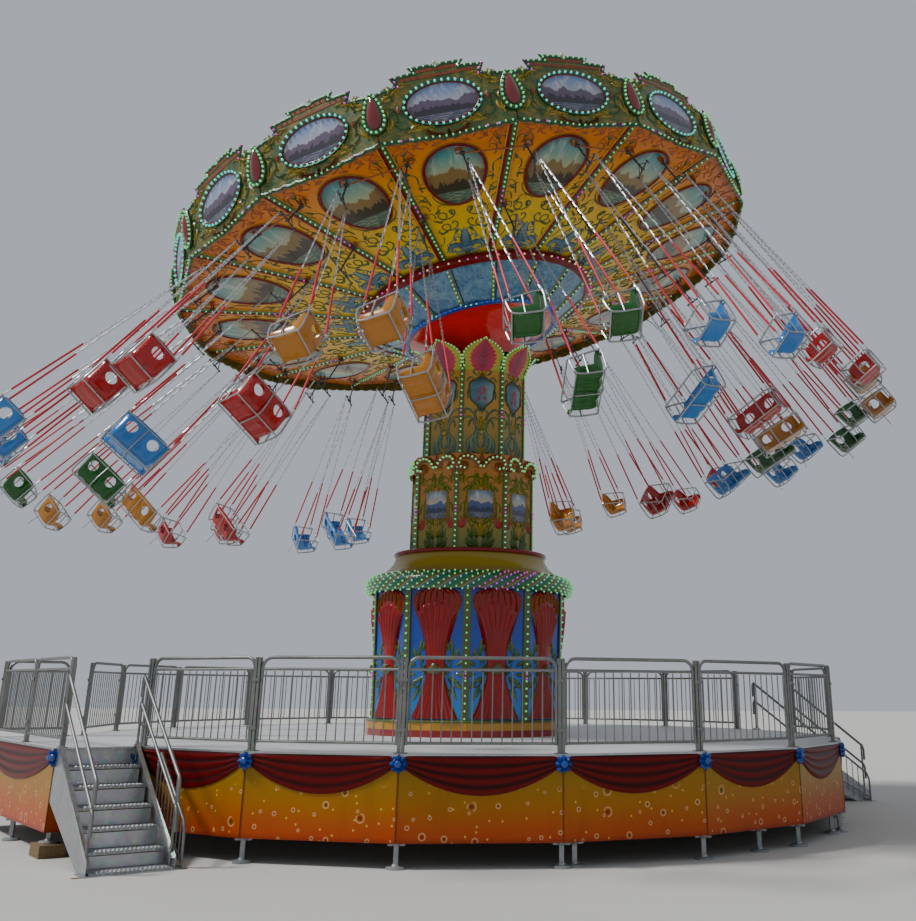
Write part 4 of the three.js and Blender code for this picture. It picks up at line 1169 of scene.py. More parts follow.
def mirrored(strokes):
    """Strokes and their mirror images across x = 0."""
    flipped = [(line * (-1, 1), width) for line, width in strokes]
    return strokes + flipped


def acanthus(start, heading, length, bend, width, lobes=3, tighten=0.0):
    """A curling stem with pairs of leaves, smaller towards its tip."""
    steps = 9
    spine = curl(start, heading, length, bend, tighten, steps)
    strokes = [(spine, taper(width * 0.6, spine, 0.3))]
    for i in range(lobes):
        t = (i + 0.6) / (lobes + 0.6)
        at = spine[int(t * steps)]
        ahead = heading + bend * t + tighten * t**3
        for side in (-1, 1):
            size = length * 0.42 * (1 - 0.55 * t)
            line = curl(at, ahead + side * 48, size, -side * 75, 0, 6)
            strokes.append((line, leaf(width * (1 - 0.4 * t), line)))
    return strokes


def lily(foot, size):
    """A fleur-de-lis that stands on its foot."""
    x, y = foot

    def at(dx, dy):
        return x + dx * size, y + dy * size

    middle = curl(at(0, 0.2), 90, size * 0.85, 0, 0, 8)
    right = curl(at(0.05, 0.3), 58, size * 0.72, -150, -110, 12)
    tail = curl(at(0.03, 0.22), -55, size * 0.32, 70, 60, 8)
    low = curl(at(0, 0.22), -90, size * 0.26, 0, 0, 6)
    band = np.array([at(-0.2, 0.26), at(0, 0.28), at(0.2, 0.26)])
    sides = mirrored([(right - (x, 0), leaf(size * 0.2, right)), (tail - (x, 0), leaf(size * 0.12, tail))])
    strokes = [(line + (x, 0), width) for line, width in sides]
    return strokes + [(middle, leaf(size * 0.3, middle)), (low, leaf(size * 0.14, low)),
                      (band, np.full(3, size * 0.09))]


def ellipse(a, b, centre=(0.0, 0.0), steps=40, egg=0.0):
    """A closed line; egg makes its upper half wider."""
    t = np.arange(steps) * FULL_TURN / steps
    wide = a * (1 + egg * np.sin(t))
    return np.stack((centre[0] + wide * np.cos(t), centre[1] + b * np.sin(t)), 1)


def cursive(start, end, turns, size, phase=0.0):
    """A line that runs from start to end in loops, like handwriting."""
    t = np.linspace(0, 1, int(turns * 10) + 1)
    angle = phase + turns * FULL_TURN * t
    way = np.asarray(start) + (np.asarray(end) - start) * t[:, None]
    swell = 0.5 + 0.5 * np.sin(math.pi * t)
    return way + size * np.stack((np.cos(angle), np.sin(angle)), 1) * swell[:, None]


def drawn(rows, width_at=taper):
    """Strokes from rows of x, y, heading, length, bend, tighten and width."""
    strokes = []
    for x, y, heading, length, bend, tighten, width in rows:
        line = curl((x, y), heading, length, bend, tighten)
        strokes.append((line, width_at(width, line)))
    return mirrored(strokes)


def raised(line, height):
    """The points of a flat line, all at one height."""
    return np.column_stack((line, np.full(len(line), height)))


def loop_path(line, place, height):
    return place(raised(line, height))


def panel_place(distance, azimuth, foot=0.0, lean=0.0):
    """Points on an upright face: x across, y up from foot, height out of it. Lean is per metre."""
    out = outwards(azimuth)
    side = along(azimuth)

    def place(p):
        p = np.asarray(p, float)
        reach = distance + lean * p[:, 1] + p[:, 2]
        return reach[:, None] * out + p[:, :1] * side + (foot + p[:, 1])[:, None] * UP

    return place


def plaque(form, outline, place, low, high, steps_in=3, dome=0.0):
    """A low plaque over a closed outline, domed towards its middle. Its map spans the outline's box."""
    outline = np.asarray(outline, float)
    middle = outline.mean(0)
    least, most = outline.min(0), outline.max(0)
    rings = [loop_path(outline, place, low)]
    flats = [outline]
    for i in range(steps_in):
        share = 1 - i / steps_in
        ring = middle + (outline - middle) * share
        rise = high + dome * (1 - share**2)
        rings.append(loop_path(ring, place, rise))
        flats.append(ring)
    n = len(outline)
    points = np.concatenate(rings)
    spread = (np.concatenate(flats) - least) / (most - least)
    j = np.arange(n)
    k = (j + 1) % n
    start = form.count
    quad = np.stack((j, k, n + k, n + j), 1)
    quads = np.concatenate([quad + i * n for i in range(steps_in)])
    form.add(points, quads, spread[quads])
    tip = place(np.array([[*middle, high + dome]]))
    last = steps_in * n
    fan = np.stack((last + j, last + k, np.full(n, len(points))), 1)
    spread = np.concatenate((spread, [(middle - least) / (most - least)]))
    form.add(tip, fan + start - form.count, spread[fan])
    back = np.arange(n)[::-1][None]
    form.add([], back + start - form.count, spread[back])


# Camera, light and floor. The camera comes from the ride's own corners in the photograph.
CAMERA_PLACE = (0.0, -19.932, 1.920)
CAMERA_YAW = 0.0589
CAMERA_PITCH = 0.3514
CAMERA_ROLL = 0.0057
PHOTO_WIDTH = 916
PHOTO_HEIGHT = 921
FOCAL_PIXELS = 1104.6
PRINCIPAL_POINT = (538.7, 282.9)
SENSOR = 36.0


def make_camera():
    lens = bpy.data.cameras.new("camera")
    longest = max(PHOTO_WIDTH, PHOTO_HEIGHT)
    lens.sensor_width = SENSOR
    lens.lens = FOCAL_PIXELS * SENSOR / longest
    lens.shift_x = (PHOTO_WIDTH / 2 - PRINCIPAL_POINT[0]) / longest
    lens.shift_y = (PRINCIPAL_POINT[1] - PHOTO_HEIGHT / 2) / longest
    lens.clip_end = 500
    level = np.array((math.sin(CAMERA_YAW), math.cos(CAMERA_YAW), 0.0))
    ahead = math.cos(CAMERA_PITCH) * level + math.sin(CAMERA_PITCH) * UP
    right = np.cross(level, UP)
    rolled = math.cos(CAMERA_ROLL) * right + math.sin(CAMERA_ROLL) * np.cross(right, ahead)
    camera = in_scene("camera", lens)
    camera.matrix_world = basis(rolled, np.cross(rolled, ahead), -ahead, CAMERA_PLACE)
    bpy.context.scene.camera = camera


# The sun stands at the ride's left, as in the photograph, and a little in front
SUN_WAY = (0.62, 0.06, -0.78)
SUN_STRENGTH = 3.2
SUN_SPREAD = 9
SKY_COLOUR = (0.80, 0.86, 0.95, 1.0)
SKY_STRENGTH = 0.56


def make_light():
    sun = bpy.data.lights.new("key", "SUN")
    sun.energy = SUN_STRENGTH
    sun.angle = rad(SUN_SPREAD)
    key = in_scene("key", sun)
    key.rotation_euler = Vector(SUN_WAY).to_track_quat("-Z", "Y").to_euler()
    world = bpy.data.worlds.new("studio")
    world.use_nodes = True
    sky = world.node_tree.nodes["Background"].inputs
    sky["Color"].default_value = SKY_COLOUR
    sky["Strength"].default_value = SKY_STRENGTH
    bpy.context.scene.world = world
    floor = Form()
    floor.sheet(np.array([[(-60, -60, 0), (-60, 90, 0)], [(60, -60, 0), (60, 90, 0)]], float))
    mesh = floor.mesh("floor")
    paint = Paint("pale_floor")
    mesh.materials.append(paint.finish(paint.mix(paint.noise(0.4, 3), "#c9c7c2", "#c2c0bb"), 0.9))
    in_scene("floor", mesh)


make_camera()
make_light()

# Finishes of the frame's own solids that stay
KEPT = {
    "base_frame": "leg",
    "deck": "deck",
    "wood_block": "timber",
    **{"skirt_" + side: "skirt" for side in ("front", "right", "rear", "landing")},
    "drum_base": "base_bands",
    "drum_wall": "drum",
    **{part: "dark_steel" for part in ("mast_post", "mast_sleeve", "tilt_head")},
    "tower_lower": "tower_lower",
    "crown_disc": "disc",
    "crown_roof": "roof",
}
for node, finish in KEPT.items():
    dress(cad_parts[node].data, finish)


# Platform
LANDING_OUT = unit(np.array((-0.836, -0.549, 0.0)))
LANDING_BACK = np.array((LANDING_OUT[1], -LANDING_OUT[0], 0.0))
LANDING_NEAR = corner(NEAR_CORNER, PLATFORM_RADIUS)
LANDING_SIDE = corner(FAR_CORNER - PLATFORM_SIDES, PLATFORM_RADIUS) - LANDING_NEAR


def landing_corners(inset, tuck=0.0):
    """The landing's corners, drawn in: near, near outer, far outer, far."""
    length = LANDING_SIDE.dot(LANDING_BACK) - inset

    def at(out, back):
        return LANDING_NEAR + out * LANDING_OUT + back * LANDING_BACK

    return [
        at(-tuck, inset),
        at(LANDING_WIDTH - inset, inset),
        at(LANDING_WIDTH - inset, length),
        at(LANDING_SIDE.dot(LANDING_OUT) - tuck, length),
    ]


# The skirt's panels, as pairs of ends, seen from outside from left to right
near_inner, near_outer, far_outer, far_inner = landing_corners(0)
SKIRT_CORNERS = [corner(k, PLATFORM_RADIUS) for k in range(NEAR_CORNER, FAR_CORNER + 1)]
SKIRT_PANELS = list(zip(SKIRT_CORNERS, SKIRT_CORNERS[1:]))
SKIRT_PANELS += [(near_outer, near_inner), (far_outer, near_outer), (far_inner, far_outer)]
ROSETTE_SIZE = 0.102


def panel_frame(start, end, foot):
    """Origin at the panel's middle, x along it, y up, z out of it."""
    side = unit(end - start)
    out = np.cross(side, UP)
    return basis(side, UP, out, (start + end) / 2 + foot * UP), np.linalg.norm(end - start)


def relief_sheet(form, x, y, z, place):
    """A raised sheet over a panel, closed at its back. The arrays are x, y and height by [across, up]."""
    front = np.stack((x, y, z), 2)
    back = np.stack((x, y, np.full_like(z, 0.001)), 2)
    shell = np.concatenate((front, back[:, ::-1]), 1)
    form.shell(place(shell.reshape(-1, 3)).reshape(shell.shape))


def drape(form, width, drop, matrix):
    """One swag: folds hang in deeper and deeper curves between two upper corners."""
    across = np.linspace(-1, 1, 19)
    down = np.linspace(0, 1, 4 * SWAG_FOLDS + 1)
    s, t = np.meshgrid(across, down, indexing="ij")
    gather = 1 - 0.03 * t
    sag = drop * (0.3 + 0.7 * (1 - s**2))
    x = s * gather * width / 2
    y = -t * np.where(np.abs(s) > 0.999, drop * 0.3, sag)
    edge = np.clip((1 - np.abs(s)) * 8, 0, 1)
    z = 0.004 + 0.024 * edge * (0.7 - 0.3 * np.cos(t * SWAG_FOLDS * FULL_TURN)) * (1 - 0.3 * t)
    relief_sheet(form, x, y, z, on_matrix(matrix))
    form.fold_map()


def platform_trim():
    swags, seams, rosettes = Form(), Form(), Form()
    edge = Form()
    for start, end in SKIRT_PANELS:
        matrix, width = panel_frame(start, end, DECK_TOP - 0.02)
        if width > 1.2 and not np.allclose(start, corner(EXIT_BAY, PLATFORM_RADIUS)):
            drape(swags, width - 0.03, 0.42, matrix)
        # A seam on each side of the panel
        for side in (-1, 1):
            at = matrix @ moved(side * (width / 2 - 0.006), -(DECK_TOP - SKIRT_BOTTOM) / 2 + 0.02, 0.0)
            seams.box((0.007, DECK_TOP - SKIRT_BOTTOM - 0.01, 0.008), at)
        edge.box((width, 0.045, 0.012), matrix @ moved(0, 0.0, 0.006))
    knots = [corner(k, PLATFORM_RADIUS + 0.012) for k in range(NEAR_CORNER, FAR_CORNER + 1)]
    on_ring = len(knots)
    knots += [near_outer + 0.01 * LANDING_OUT, far_outer]
    landing_centre = corner(NEAR_CORNER - 1, 5.0)
    for i, knot in enumerate(knots):
        out = unit((knot if i < on_ring else knot - landing_centre) * (1, 1, 0))
        side = np.cross(UP, out)
        matrix = basis(side, UP, out, knot + (DECK_TOP - 0.105) * UP)
        spots = on_matrix(matrix)
        for turn in np.arange(8) * math.pi / 4:
            lobe = np.array((math.cos(turn), math.sin(turn)))
            line = np.array([lobe * ROSETTE_SIZE * r for r in (0.25, 0.55, 0.8, 1.0)])
            rosettes.stroke(line, np.array((0.03, 0.055, 0.06, 0.02)), 0.05, spots)
        plaque(rosettes, ellipse(0.04, 0.04, steps=12), spots, 0.0, 0.045, 2, 0.02)
    piece(swags, "skirt_swags", "swag", "base", "skirt_yellow")
    piece(seams, "skirt_seams", "shade_brown", "base")
    piece(edge, "deck_edge_strip", "stair", "base", "deck_aluminium")
    piece(rosettes, "skirt_rosettes", "rosette", "base")


def jack_legs():
    """Round feet, screws and collars over the frame's plain legs."""
    spots = [corner(k, FENCE_RADIUS) for k in range(PLATFORM_SIDES)]
    spots += [polar(5.93, rad(a)) for a in (12.5, 39, 62)]
    _, near, far, _ = landing_corners(0.085)
    spots += [(near + far) / 2, far]
    spots = [(s, 0.0) for s in spots] + [(near, 0.14)]
    form = Form()
    for spot, ground in spots:
        foot = Form()
        screw = [(0.026 + 0.004 * (i % 2), 0.06 + 0.024 * i) for i in range(8)]
        foot.turned(
            [(0.0, 0.0), (0.114, 0.0), (0.114, 0.02), (0.10, 0.029), (0.05, 0.034), (0.04, 0.055), *screw,
             (0.058, 0.255), (0.058, 0.33), (0.045, 0.34), (0.0, 0.34)],
            16,
        )
        foot.box((0.20, 0.02, 0.02), moved(0, 0, 0.245))
        form.include(foot, Matrix.Translation(Vector(spot) + Vector((0, 0, ground))))
    piece(form, "jack_feet", "leg", "base", "dark_steel")


def stair_timber():
    """A plank under the entry stair's foot."""
    down = -LANDING_BACK
    place = LANDING_NEAR + LANDING_OUT * LANDING_WIDTH / 2 + down * (STAIR_RUN + 0.02)
    form = Form()
    form.box((1.25, 0.05, 0.006), basis(LANDING_OUT, down, UP, place + 0.003 * UP))
    piece(form, "foot_plank", "timber", "base", "timber")


# Fences
FENCE_TUBE = 0.021
FENCE_BAR = 0.008


def fence_panel(tubes, rows, start, end, clear=0.055):
    """A hoop with rounded upper corners and two rails, with bars between them."""
    way = unit(end - start)
    a, b = start + way * clear, end - way * clear
    foot = DECK_TOP + 0.09
    top = DECK_TOP + FENCE_HEIGHT + 0.008
    bend = 0.13
    path = [a + foot * UP]
    turns = np.linspace(0, math.pi / 2, 7)
    for post, inwards, order in ((a, way, 1), (b, -way, -1)):
        for t in turns[::order]:
            path.append(post + inwards * bend * (1 - math.cos(t)) + (top - bend + bend * math.sin(t)) * UP)
    path.append(b + foot * UP)
    tubes.tube(path, FENCE_TUBE, 10)
    for height in (foot + FENCE_TUBE, top - 0.135):
        tubes.tube([a + height * UP, b + height * UP], FENCE_TUBE * 0.8, 8)
    level = (foot + FENCE_TUBE) * UP
    rows.append(([a + way * 0.05 + level, b - way * 0.05 + level], UP))


def fence_post(tubes, place, way):
    """A pair of square posts with a foot plate and a latch."""
    side = unit(way * (1, 1, 0))
    for shift in (-0.024, 0.024):
        matrix = basis(side, np.cross(UP, side), UP,
                       place + side * shift + (DECK_TOP + 0.001 + FENCE_HEIGHT / 2) * UP)
        tubes.box((0.036, 0.05, FENCE_HEIGHT), matrix)
        tubes.box((0.028, 0.042, 0.02), matrix @ moved(0, 0, FENCE_HEIGHT / 2))
    foot = basis(side, np.cross(UP, side), UP, place + (DECK_TOP + 0.006) * UP)
    tubes.box((0.15, 0.10, 0.008), foot)
    for height in (0.25, 0.80):
        tubes.box((0.11, 0.012, 0.035), foot @ moved(0, -0.03, height))


def fence(name, points, skip_first=False, pitch=0.112):
    tubes, rows = Form(), []
    for start, end in zip(points, points[1:]):
        fence_panel(tubes, rows, start, end)
    for i, point in enumerate(points):
        if skip_first and i == 0:
            continue
        fence_post(tubes, point, points[min(i + 1, len(points) - 1)] - points[max(i - 1, 0)])
    bars = BARS.grow(rows_mesh(rows), "fence", Pitch=pitch, Height=FENCE_HEIGHT - 0.26, Radius=FENCE_BAR)
    tubes.include(form_of(bars))
    piece(tubes, name + "_rails", "fence", "base", "fence_steel", replaces=[name])


def fences():
    ring = {k: corner(k, FENCE_RADIUS) for k in range(NEAR_CORNER, FAR_CORNER + 1)}
    for name, first, last in (("front", NEAR_CORNER, 3), ("right", 3, EXIT_BAY),
                              ("rear", EXIT_BAY + 1, FAR_CORNER)):
        fence("fence_" + name, [ring[k] for k in range(first, last + 1)], name == "right")
    _, near, far, end = landing_corners(0.09, -0.22)
    fence("fence_landing", [end, far, (near + far) / 2, near], pitch=0.085)


# Stairs. In their own frame a flight goes down along +X, from the deck's edge at x = 0.
def stair(name, width, low_side, matrix):
    rise = DECK_TOP / STAIR_RISERS
    going = STAIR_RUN / STAIR_RISERS
    plates, treads, rails, teeth = Form(), Form(), Form(), []
    slope = math.atan2(DECK_TOP, STAIR_RUN)
    inner = width / 2 - 0.03

    def level(i):
        return DECK_TOP - i * rise if i < STAIR_RISERS else 0.03

    def above(x, height):
        return DECK_TOP * (1 - x / STAIR_RUN) + height

    for i in range(1, STAIR_RISERS + 1):
        back, front, top = (i - 1) * going, i * going, level(i)
        treads.box((going + 0.03, 2 * inner, 0.03), moved((back + front) / 2 + 0.01, 0, top - 0.015))
        riser = level(i - 1) - top
        plates.box((0.012, 2 * inner, riser - 0.045), moved(back + 0.012, 0, top + riser / 2 - 0.018))
        for inset, shorter in ((0.02, 0.05), (0.065, 0.07)):
            x, y, z = front - inset, inner - shorter, top + 0.002
            teeth.append(([(x, -y, z), (x, y, z)], UP))
    treads.box((0.10, 2 * inner, 0.02), moved(0.05, 0, DECK_TOP - 0.012))
    web = [(0.0, DECK_TOP + 0.01), (0.08, DECK_TOP + 0.01), (STAIR_RUN + 0.01, 0.15),
           (STAIR_RUN + 0.01, 0.0)]
    web += [(STAIR_RUN - going - 0.02, 0.0), (0.0, DECK_TOP - 2 * rise - 0.19)]
    for side in (-1, 1):
        stand = basis((1, 0, 0), (0, 0, 1), (0, -1, 0),
                      (0, side * width / 2 + (0.006 if side > 0 else 0.0), 0))
        plates.prism(web, 0.006, stand)
        flange = moved(STAIR_RUN / 2 + 0.03, side * (width / 2 - 0.02), DECK_TOP / 2 + 0.085)
        length = math.hypot(DECK_TOP, STAIR_RUN) - 0.1
        plates.box((length, 0.055, 0.007), flange @ Matrix.Rotation(slope, 4, "Y"))
        plates.box((0.05, 0.05, 0.12), moved(0.05, side * (width / 2 - 0.02), DECK_TOP - 0.03))
    plates.box((0.30, width + 0.10, 0.008), moved(STAIR_RUN - 0.09, 0, 0.006))
    out = width / 2 - 0.015
    upper, lower = 0.06, STAIR_RUN - 0.09
    for y in (-out, out):
        for height, radius in ((0.88, 0.021), (0.56, 0.019)):
            rail = [
                (upper - 0.02, above(upper, height - 0.25)), (upper - 0.02, above(upper, height - 0.05)),
                (upper, above(upper, height)), (upper + 0.06, above(upper + 0.06, height)),
                (lower - 0.06, above(lower - 0.06, height)), (lower, above(lower, height) + 0.005),
                (lower + 0.03, above(lower, height - 0.06)), (lower + 0.03, above(lower, height - 0.25)),
            ]
            rails.tube([(x, y, z) for x, z in rail], radius, 10)
        for x in (upper + 0.02, lower - 0.02):
            rails.tube([(x, y, above(x, -0.10)), (x, y, above(x, 0.88))], 0.017, 10)
    # A low balustrade of hooped bars beside the lower part of one cheek
    low = low_side * (width / 2 + 0.11)
    first, last = 0.60, STAIR_RUN - 0.09
    for x in (first, last):
        foot = max(above(x, -0.26), 0.0)
        rails.tube([(x, low_side * out, foot + 0.03), (x, low, foot + 0.03)], 0.014, 8)
    hoop = [
        (first, above(first, -0.26)), (first, above(first, 0.32)),
        (first + 0.05, above(first + 0.05, 0.385)),
        (last - 0.05, above(last - 0.05, 0.385)), (last, above(last, 0.31)), (last, 0.0),
    ]
    rails.tube([(x, low, z) for x, z in hoop], 0.018, 10)
    rails.tube([(first, low, above(first, -0.2)), (last, low, max(above(last, -0.2), 0.06))], 0.013, 8)
    for x in np.linspace(first, last, 10)[1:-1]:
        rails.tube([(x, low, max(above(x, -0.2), 0.06)), (x, low, above(x, 0.38))], 0.008, 8)
    nosing = TEETH.grow(rows_mesh(teeth), "stair", Pitch=0.045, Size=0.014)
    piece(plates, name + "_frame", "stair", "base", "stair_aluminium", matrix, replaces=[name])
    piece(treads, name + "_treads", "tread", "base", "stair_aluminium", matrix)
    piece(rails, name + "_rails", "fence", "base", "fence_steel", matrix)
    piece(nosing, name + "_nosings", "stair", "base", "stair_aluminium", matrix)


def stairs():
    top = LANDING_NEAR + LANDING_OUT * LANDING_WIDTH / 2
    down = -LANDING_BACK
    stair("entry_stair", ENTRY_WIDTH, 1, basis(down, np.cross(UP, down), UP, top))
    azimuth = PLATFORM_TURN + (EXIT_BAY + 0.5) * FULL_TURN / PLATFORM_SIDES
    out = outwards(azimuth)
    edge = out * PLATFORM_RADIUS * math.cos(math.pi / PLATFORM_SIDES)
    stair("exit_stair", EXIT_WIDTH, -1, basis(out, np.cross(UP, out), UP, edge))


platform_trim()
jack_legs()
stair_timber()
fences()
stairs()


# Drum
def drum_place():
    share = math.cos(math.pi / DRUM_SIDES)
    lean = (DRUM_HIGH_RADIUS - DRUM_LOW_RADIUS) * share / (DRUM_TOP - DRUM_BOTTOM)
    return panel_place(DRUM_LOW_RADIUS * share, DRUM_TURN + math.pi / DRUM_SIDES, DRUM_BOTTOM, lean)


# x, y, heading and length, and for the scrolls also bend and tighten
DRUM_SCROLLS = (
    (0.12, 0.70, 20, 0.34, 120, 260), (0.12, 0.86, -15, 0.34, -110, -260), (0.15, 0.78, 8, 0.22, 60, 120),
    (0.22, 0.90, 70, 0.36, -60, -240), (0.22, 0.66, -75, 0.36, 60, 240),
)
DRUM_LEAVES = (
    (0.27, 0.98, 85, 0.28), (0.31, 0.93, 60, 0.20), (0.24, 1.06, 110, 0.20), (0.20, 0.88, 40, 0.20),
    (0.33, 0.84, 20, 0.16), (0.27, 0.58, -82, 0.28), (0.31, 0.64, -60, 0.20), (0.24, 0.50, -105, 0.18),
    (0.20, 0.68, -35, 0.20), (0.34, 0.72, -15, 0.14),
)


def drum_relief():
    """On each of the drum's faces: a fan above, a cup at the waist and a pleated bell below."""
    place = drum_place()
    red, gold, cup, green = Form(), Form(), Form(), Form()
    # Fan: (height over the drum's foot, half width)
    outline = [(0.80, 0.150), (1.0, 0.158), (1.2, 0.185), (1.4, 0.240), (1.6, 0.325), (1.72, 0.380),
               (1.80, 0.402), (1.88, 0.395), (1.94, 0.355), (1.98, 0.295), (2.01, 0.205),
               (2.025, 0.11)]
    levels, halves = (np.interp(np.linspace(0, 11, 24), range(12), column) for column in zip(*outline))
    s = np.linspace(-1, 1, 43)
    lobes = 7
    sg, yg = np.meshgrid(s, levels, indexing="ij")
    hg = np.broadcast_to(halves, sg.shape)
    swell = np.sqrt(np.clip(1 - sg**2, 0, 1))
    flute = 0.5 + 0.5 * np.cos(sg * lobes * math.pi)
    heads = 1.83 - 0.24 * sg**2
    inside = np.clip((heads - yg) * 14, 0, 1)
    grow = np.clip((yg - 1.05) / 0.5, 0, 1)
    z = 0.012 + 0.045 * swell + inside * grow * (0.030 * flute + 0.022)
    z += 0.018 * np.exp(-(((yg - heads + 0.05) / 0.045) ** 2)) * flute
    z += (1 - inside) * 0.008 * np.cos(sg * lobes * math.pi + math.pi)
    relief_sheet(red, sg * hg, yg, z, place)
    # Bell
    levels = np.linspace(0.06, 0.76, 12)
    halves = 0.145 + 0.235 * (1 - (levels - 0.06) / 0.70) ** 1.6
    sg, yg = np.meshgrid(s, levels, indexing="ij")
    hg = np.broadcast_to(halves, sg.shape)
    swell = np.sqrt(np.clip(1 - sg**2, 0, 1))
    pleat = 0.5 + 0.5 * np.cos(sg * 9 * math.pi)
    z = 0.010 + 0.045 * swell + 0.022 * pleat * (1 - (yg - 0.06) / 0.9)
    relief_sheet(red, sg * hg, yg, z, place)
    # Gold outlines: the fan's edge, its rays, the scallops' heads and the bell's hem
    for side in (-1, 1):
        edge = np.array([(side * (h + 0.006), y) for y, h in outline])
        gold.stroke(edge, 0.016, 0.022, place)
        t = np.linspace(0, 1, 10)
        hem = np.stack((side * (0.15 + 0.235 * (1 - t) ** 1.6), 0.06 + 0.7 * t), 1)
        gold.stroke(hem, 0.014, 0.02, place)
    for i in range(-3, 4):
        at = i * 2 / lobes
        head = 1.83 - 0.24 * at**2
        ray = np.array([(at * 0.392, head + 0.02), (at * 0.345, 1.985 - 0.08 * at**2)])
        gold.stroke(ray, 0.008, 0.072, place)
    for i in range(-4, 4):
        a = (i * 2 + 1) / lobes
        if abs(a) < 1:
            line = np.array([(a * w, y)
                             for w, y in ((0.385, 1.78 - 0.24 * a**2), (0.25, 1.38), (0.195, 1.15))])
            gold.stroke(line, 0.006, 0.055, place)
    for i in range(8):
        a = -1 + (2 * i + 1) / 8
        arc = np.array([(x * 0.375 + a * 0.365,
                         0.065 + 0.02 * (1 - (x * 21) ** 2)) for x in np.linspace(-0.045, 0.045, 7)])
        gold.stroke(arc, 0.012, 0.045, place)
    # Waist
    plaque(cup, ellipse(0.125, 0.060, (0, 0.775), 20), place, 0.0, 0.075, 3, 0.02)
    plaque(cup, ellipse(0.062, 0.075, (0, 0.80), 16), place, 0.0, 0.10, 3, 0.03)
    green.strokes(drawn([(*row, 0.034) for row in DRUM_SCROLLS]), place, 0.02)
    green.strokes(drawn([(*row, 25, 0.0, 0.062) for row in DRUM_LEAVES], leaf), place, 0.014)
    piece(around(red, DRUM_SIDES, "fan"), "drum_fans", "fan", "base", "bell_red", sharp=60)
    rows = (
        (gold, "gold", "drum_gold_lines", "olive_gold"), (cup, "cup", "drum_waist_cups", "olive_gold"),
        (green, "leaf_stroke", "drum_leaves", None),
    )
    repeated(rows, DRUM_SIDES, "base")


def batten(form, start, end, side, size, bevel, middle=0.0):
    """A bevelled bar over a surface. Its size is half its width, its depth and how far it is sunk in.

    Gives the direction out of the surface."""
    half, deep, sink = size
    way = unit(end - start)
    face = np.cross(side, way)
    matrix = basis(side, way, face, start) @ moved(0, 0, -sink)
    form.prism(strip(half, np.linalg.norm(end - start), middle), deep, matrix, bevel)
    return face


def lit_battens(name, body, slot, corners, size, bevel, lift, spans, pitches):
    """Battens over the corners of a drum or tower, each with two rows of green lamps and a pink one."""
    form, green, pink = Form(), [], []
    for azimuth, low, high in corners:
        face = batten(form, low, high, along(azimuth), size, bevel)
        rows = [([low + (high - low) * t + face * lift for t in span], face) for span in spans]
        green += rows[:2]
        pink += rows[2:]
    piece(form, name + "_battens", "batten", body, slot)
    lamps(green, name + "_lamps", "green", body, pitch=pitches[0])
    lamps(pink, name + "_lamps_pink", "pink", body, pitch=pitches[1])


def drum_battens():
    """Battens over the drum's corners and a moulding at its foot."""
    corners = []
    for k in range(DRUM_SIDES):
        azimuth = DRUM_TURN + k * FULL_TURN / DRUM_SIDES
        low = polar(DRUM_LOW_RADIUS + 0.002, azimuth, DRUM_BOTTOM + 0.002)
        corners.append((azimuth, low, polar(DRUM_HIGH_RADIUS + 0.002, azimuth, DRUM_TOP - 0.004)))
    spans = ((0.03, 0.30), (0.37, 0.98), (0.32, 0.352))
    size = (0.062, 0.024, 0.012)
    lit_battens("drum", "base", "olive_gold", corners, size, 0.006, 0.012, spans, (0.105, 0.06))
    foot = Form()
    foot.turned([(1.600, 1.401), (1.668, 1.401), (1.668, 1.42), (1.64, 1.44), (1.60, 1.44)], 40,
                closed=True)
    piece(foot, "drum_foot_moulding", "batten", "base", "olive_gold")


def cornice():
    """The round cornice: a banded torus with slanting rows of lamps, a cove and a red collar."""
    torus = Form()
    profile = [(1.56, 3.461), (1.684, 3.461), (1.694, 3.415), (1.738, 3.41), (1.766, 3.445), (1.779, 3.50),
               (1.778, 3.56), (1.760, 3.612), (1.722, 3.655), (1.67, 3.682), (1.60, 3.69),
               (1.56, 3.56)]
    torus.turned(profile, 120, closed=True)
    piece(torus, "cornice_torus", "spiral", "base", "olive_gold", replaces=["drum_cornice"])
    cove = Form()
    outer = [(1.62, 3.675), (1.668, 3.690), (1.612, 3.712), (1.53, 3.744), (1.45, 3.79), (1.38, 3.852),
             (1.328, 3.93), (1.292, 4.035)]
    cove.turned(outer + [(1.18, 4.035), (1.18, 3.93), (1.46, 3.66)], ROUND_STEPS, closed=True)
    piece(cove, "cornice_cove", "cove", "base", "olive_gold")
    collar = Form()
    collar.turned([(1.175, 4.03), (1.31, 4.03), (1.328, 4.045), (1.328, 4.085), (1.31, 4.098),
                   (1.175, 4.098)], ROUND_STEPS, closed=True)
    piece(collar, "collar_ring", "maroon", "base", "bell_red")
    # Lamps lie in slanting rows across the torus, in time with its bands
    front = np.array(profile[3:10])
    normals = np.gradient(front, axis=0)
    normals = np.stack((normals[:, 1], -normals[:, 0]), 1)
    rows, violet = [], []
    for azimuth in np.arange(2 * CORNICE_BANDS) * FULL_TURN / (2 * CORNICE_BANDS):
        line, facing = [], []
        for j, ((r, z), (nr, nz)) in enumerate(zip(front, normals)):
            a = azimuth + CORNICE_SLANT * (j / 6 - 0.5)
            line.append(polar(r, a, z))
            facing.append(unit(polar(nr, a, nz)))
        pick = abs(azimuth / FULL_TURN - 0.06) < 0.03
        (violet if pick else rows).append((line, np.array(facing)))
    lamps(rows, "cornice_lamps", "green", "base", pitch=0.088, radius=0.016)
    lamps(violet, "cornice_lamps_pink", "pink", "base", pitch=0.088, radius=0.016)


drum_relief()
drum_battens()
cornice()


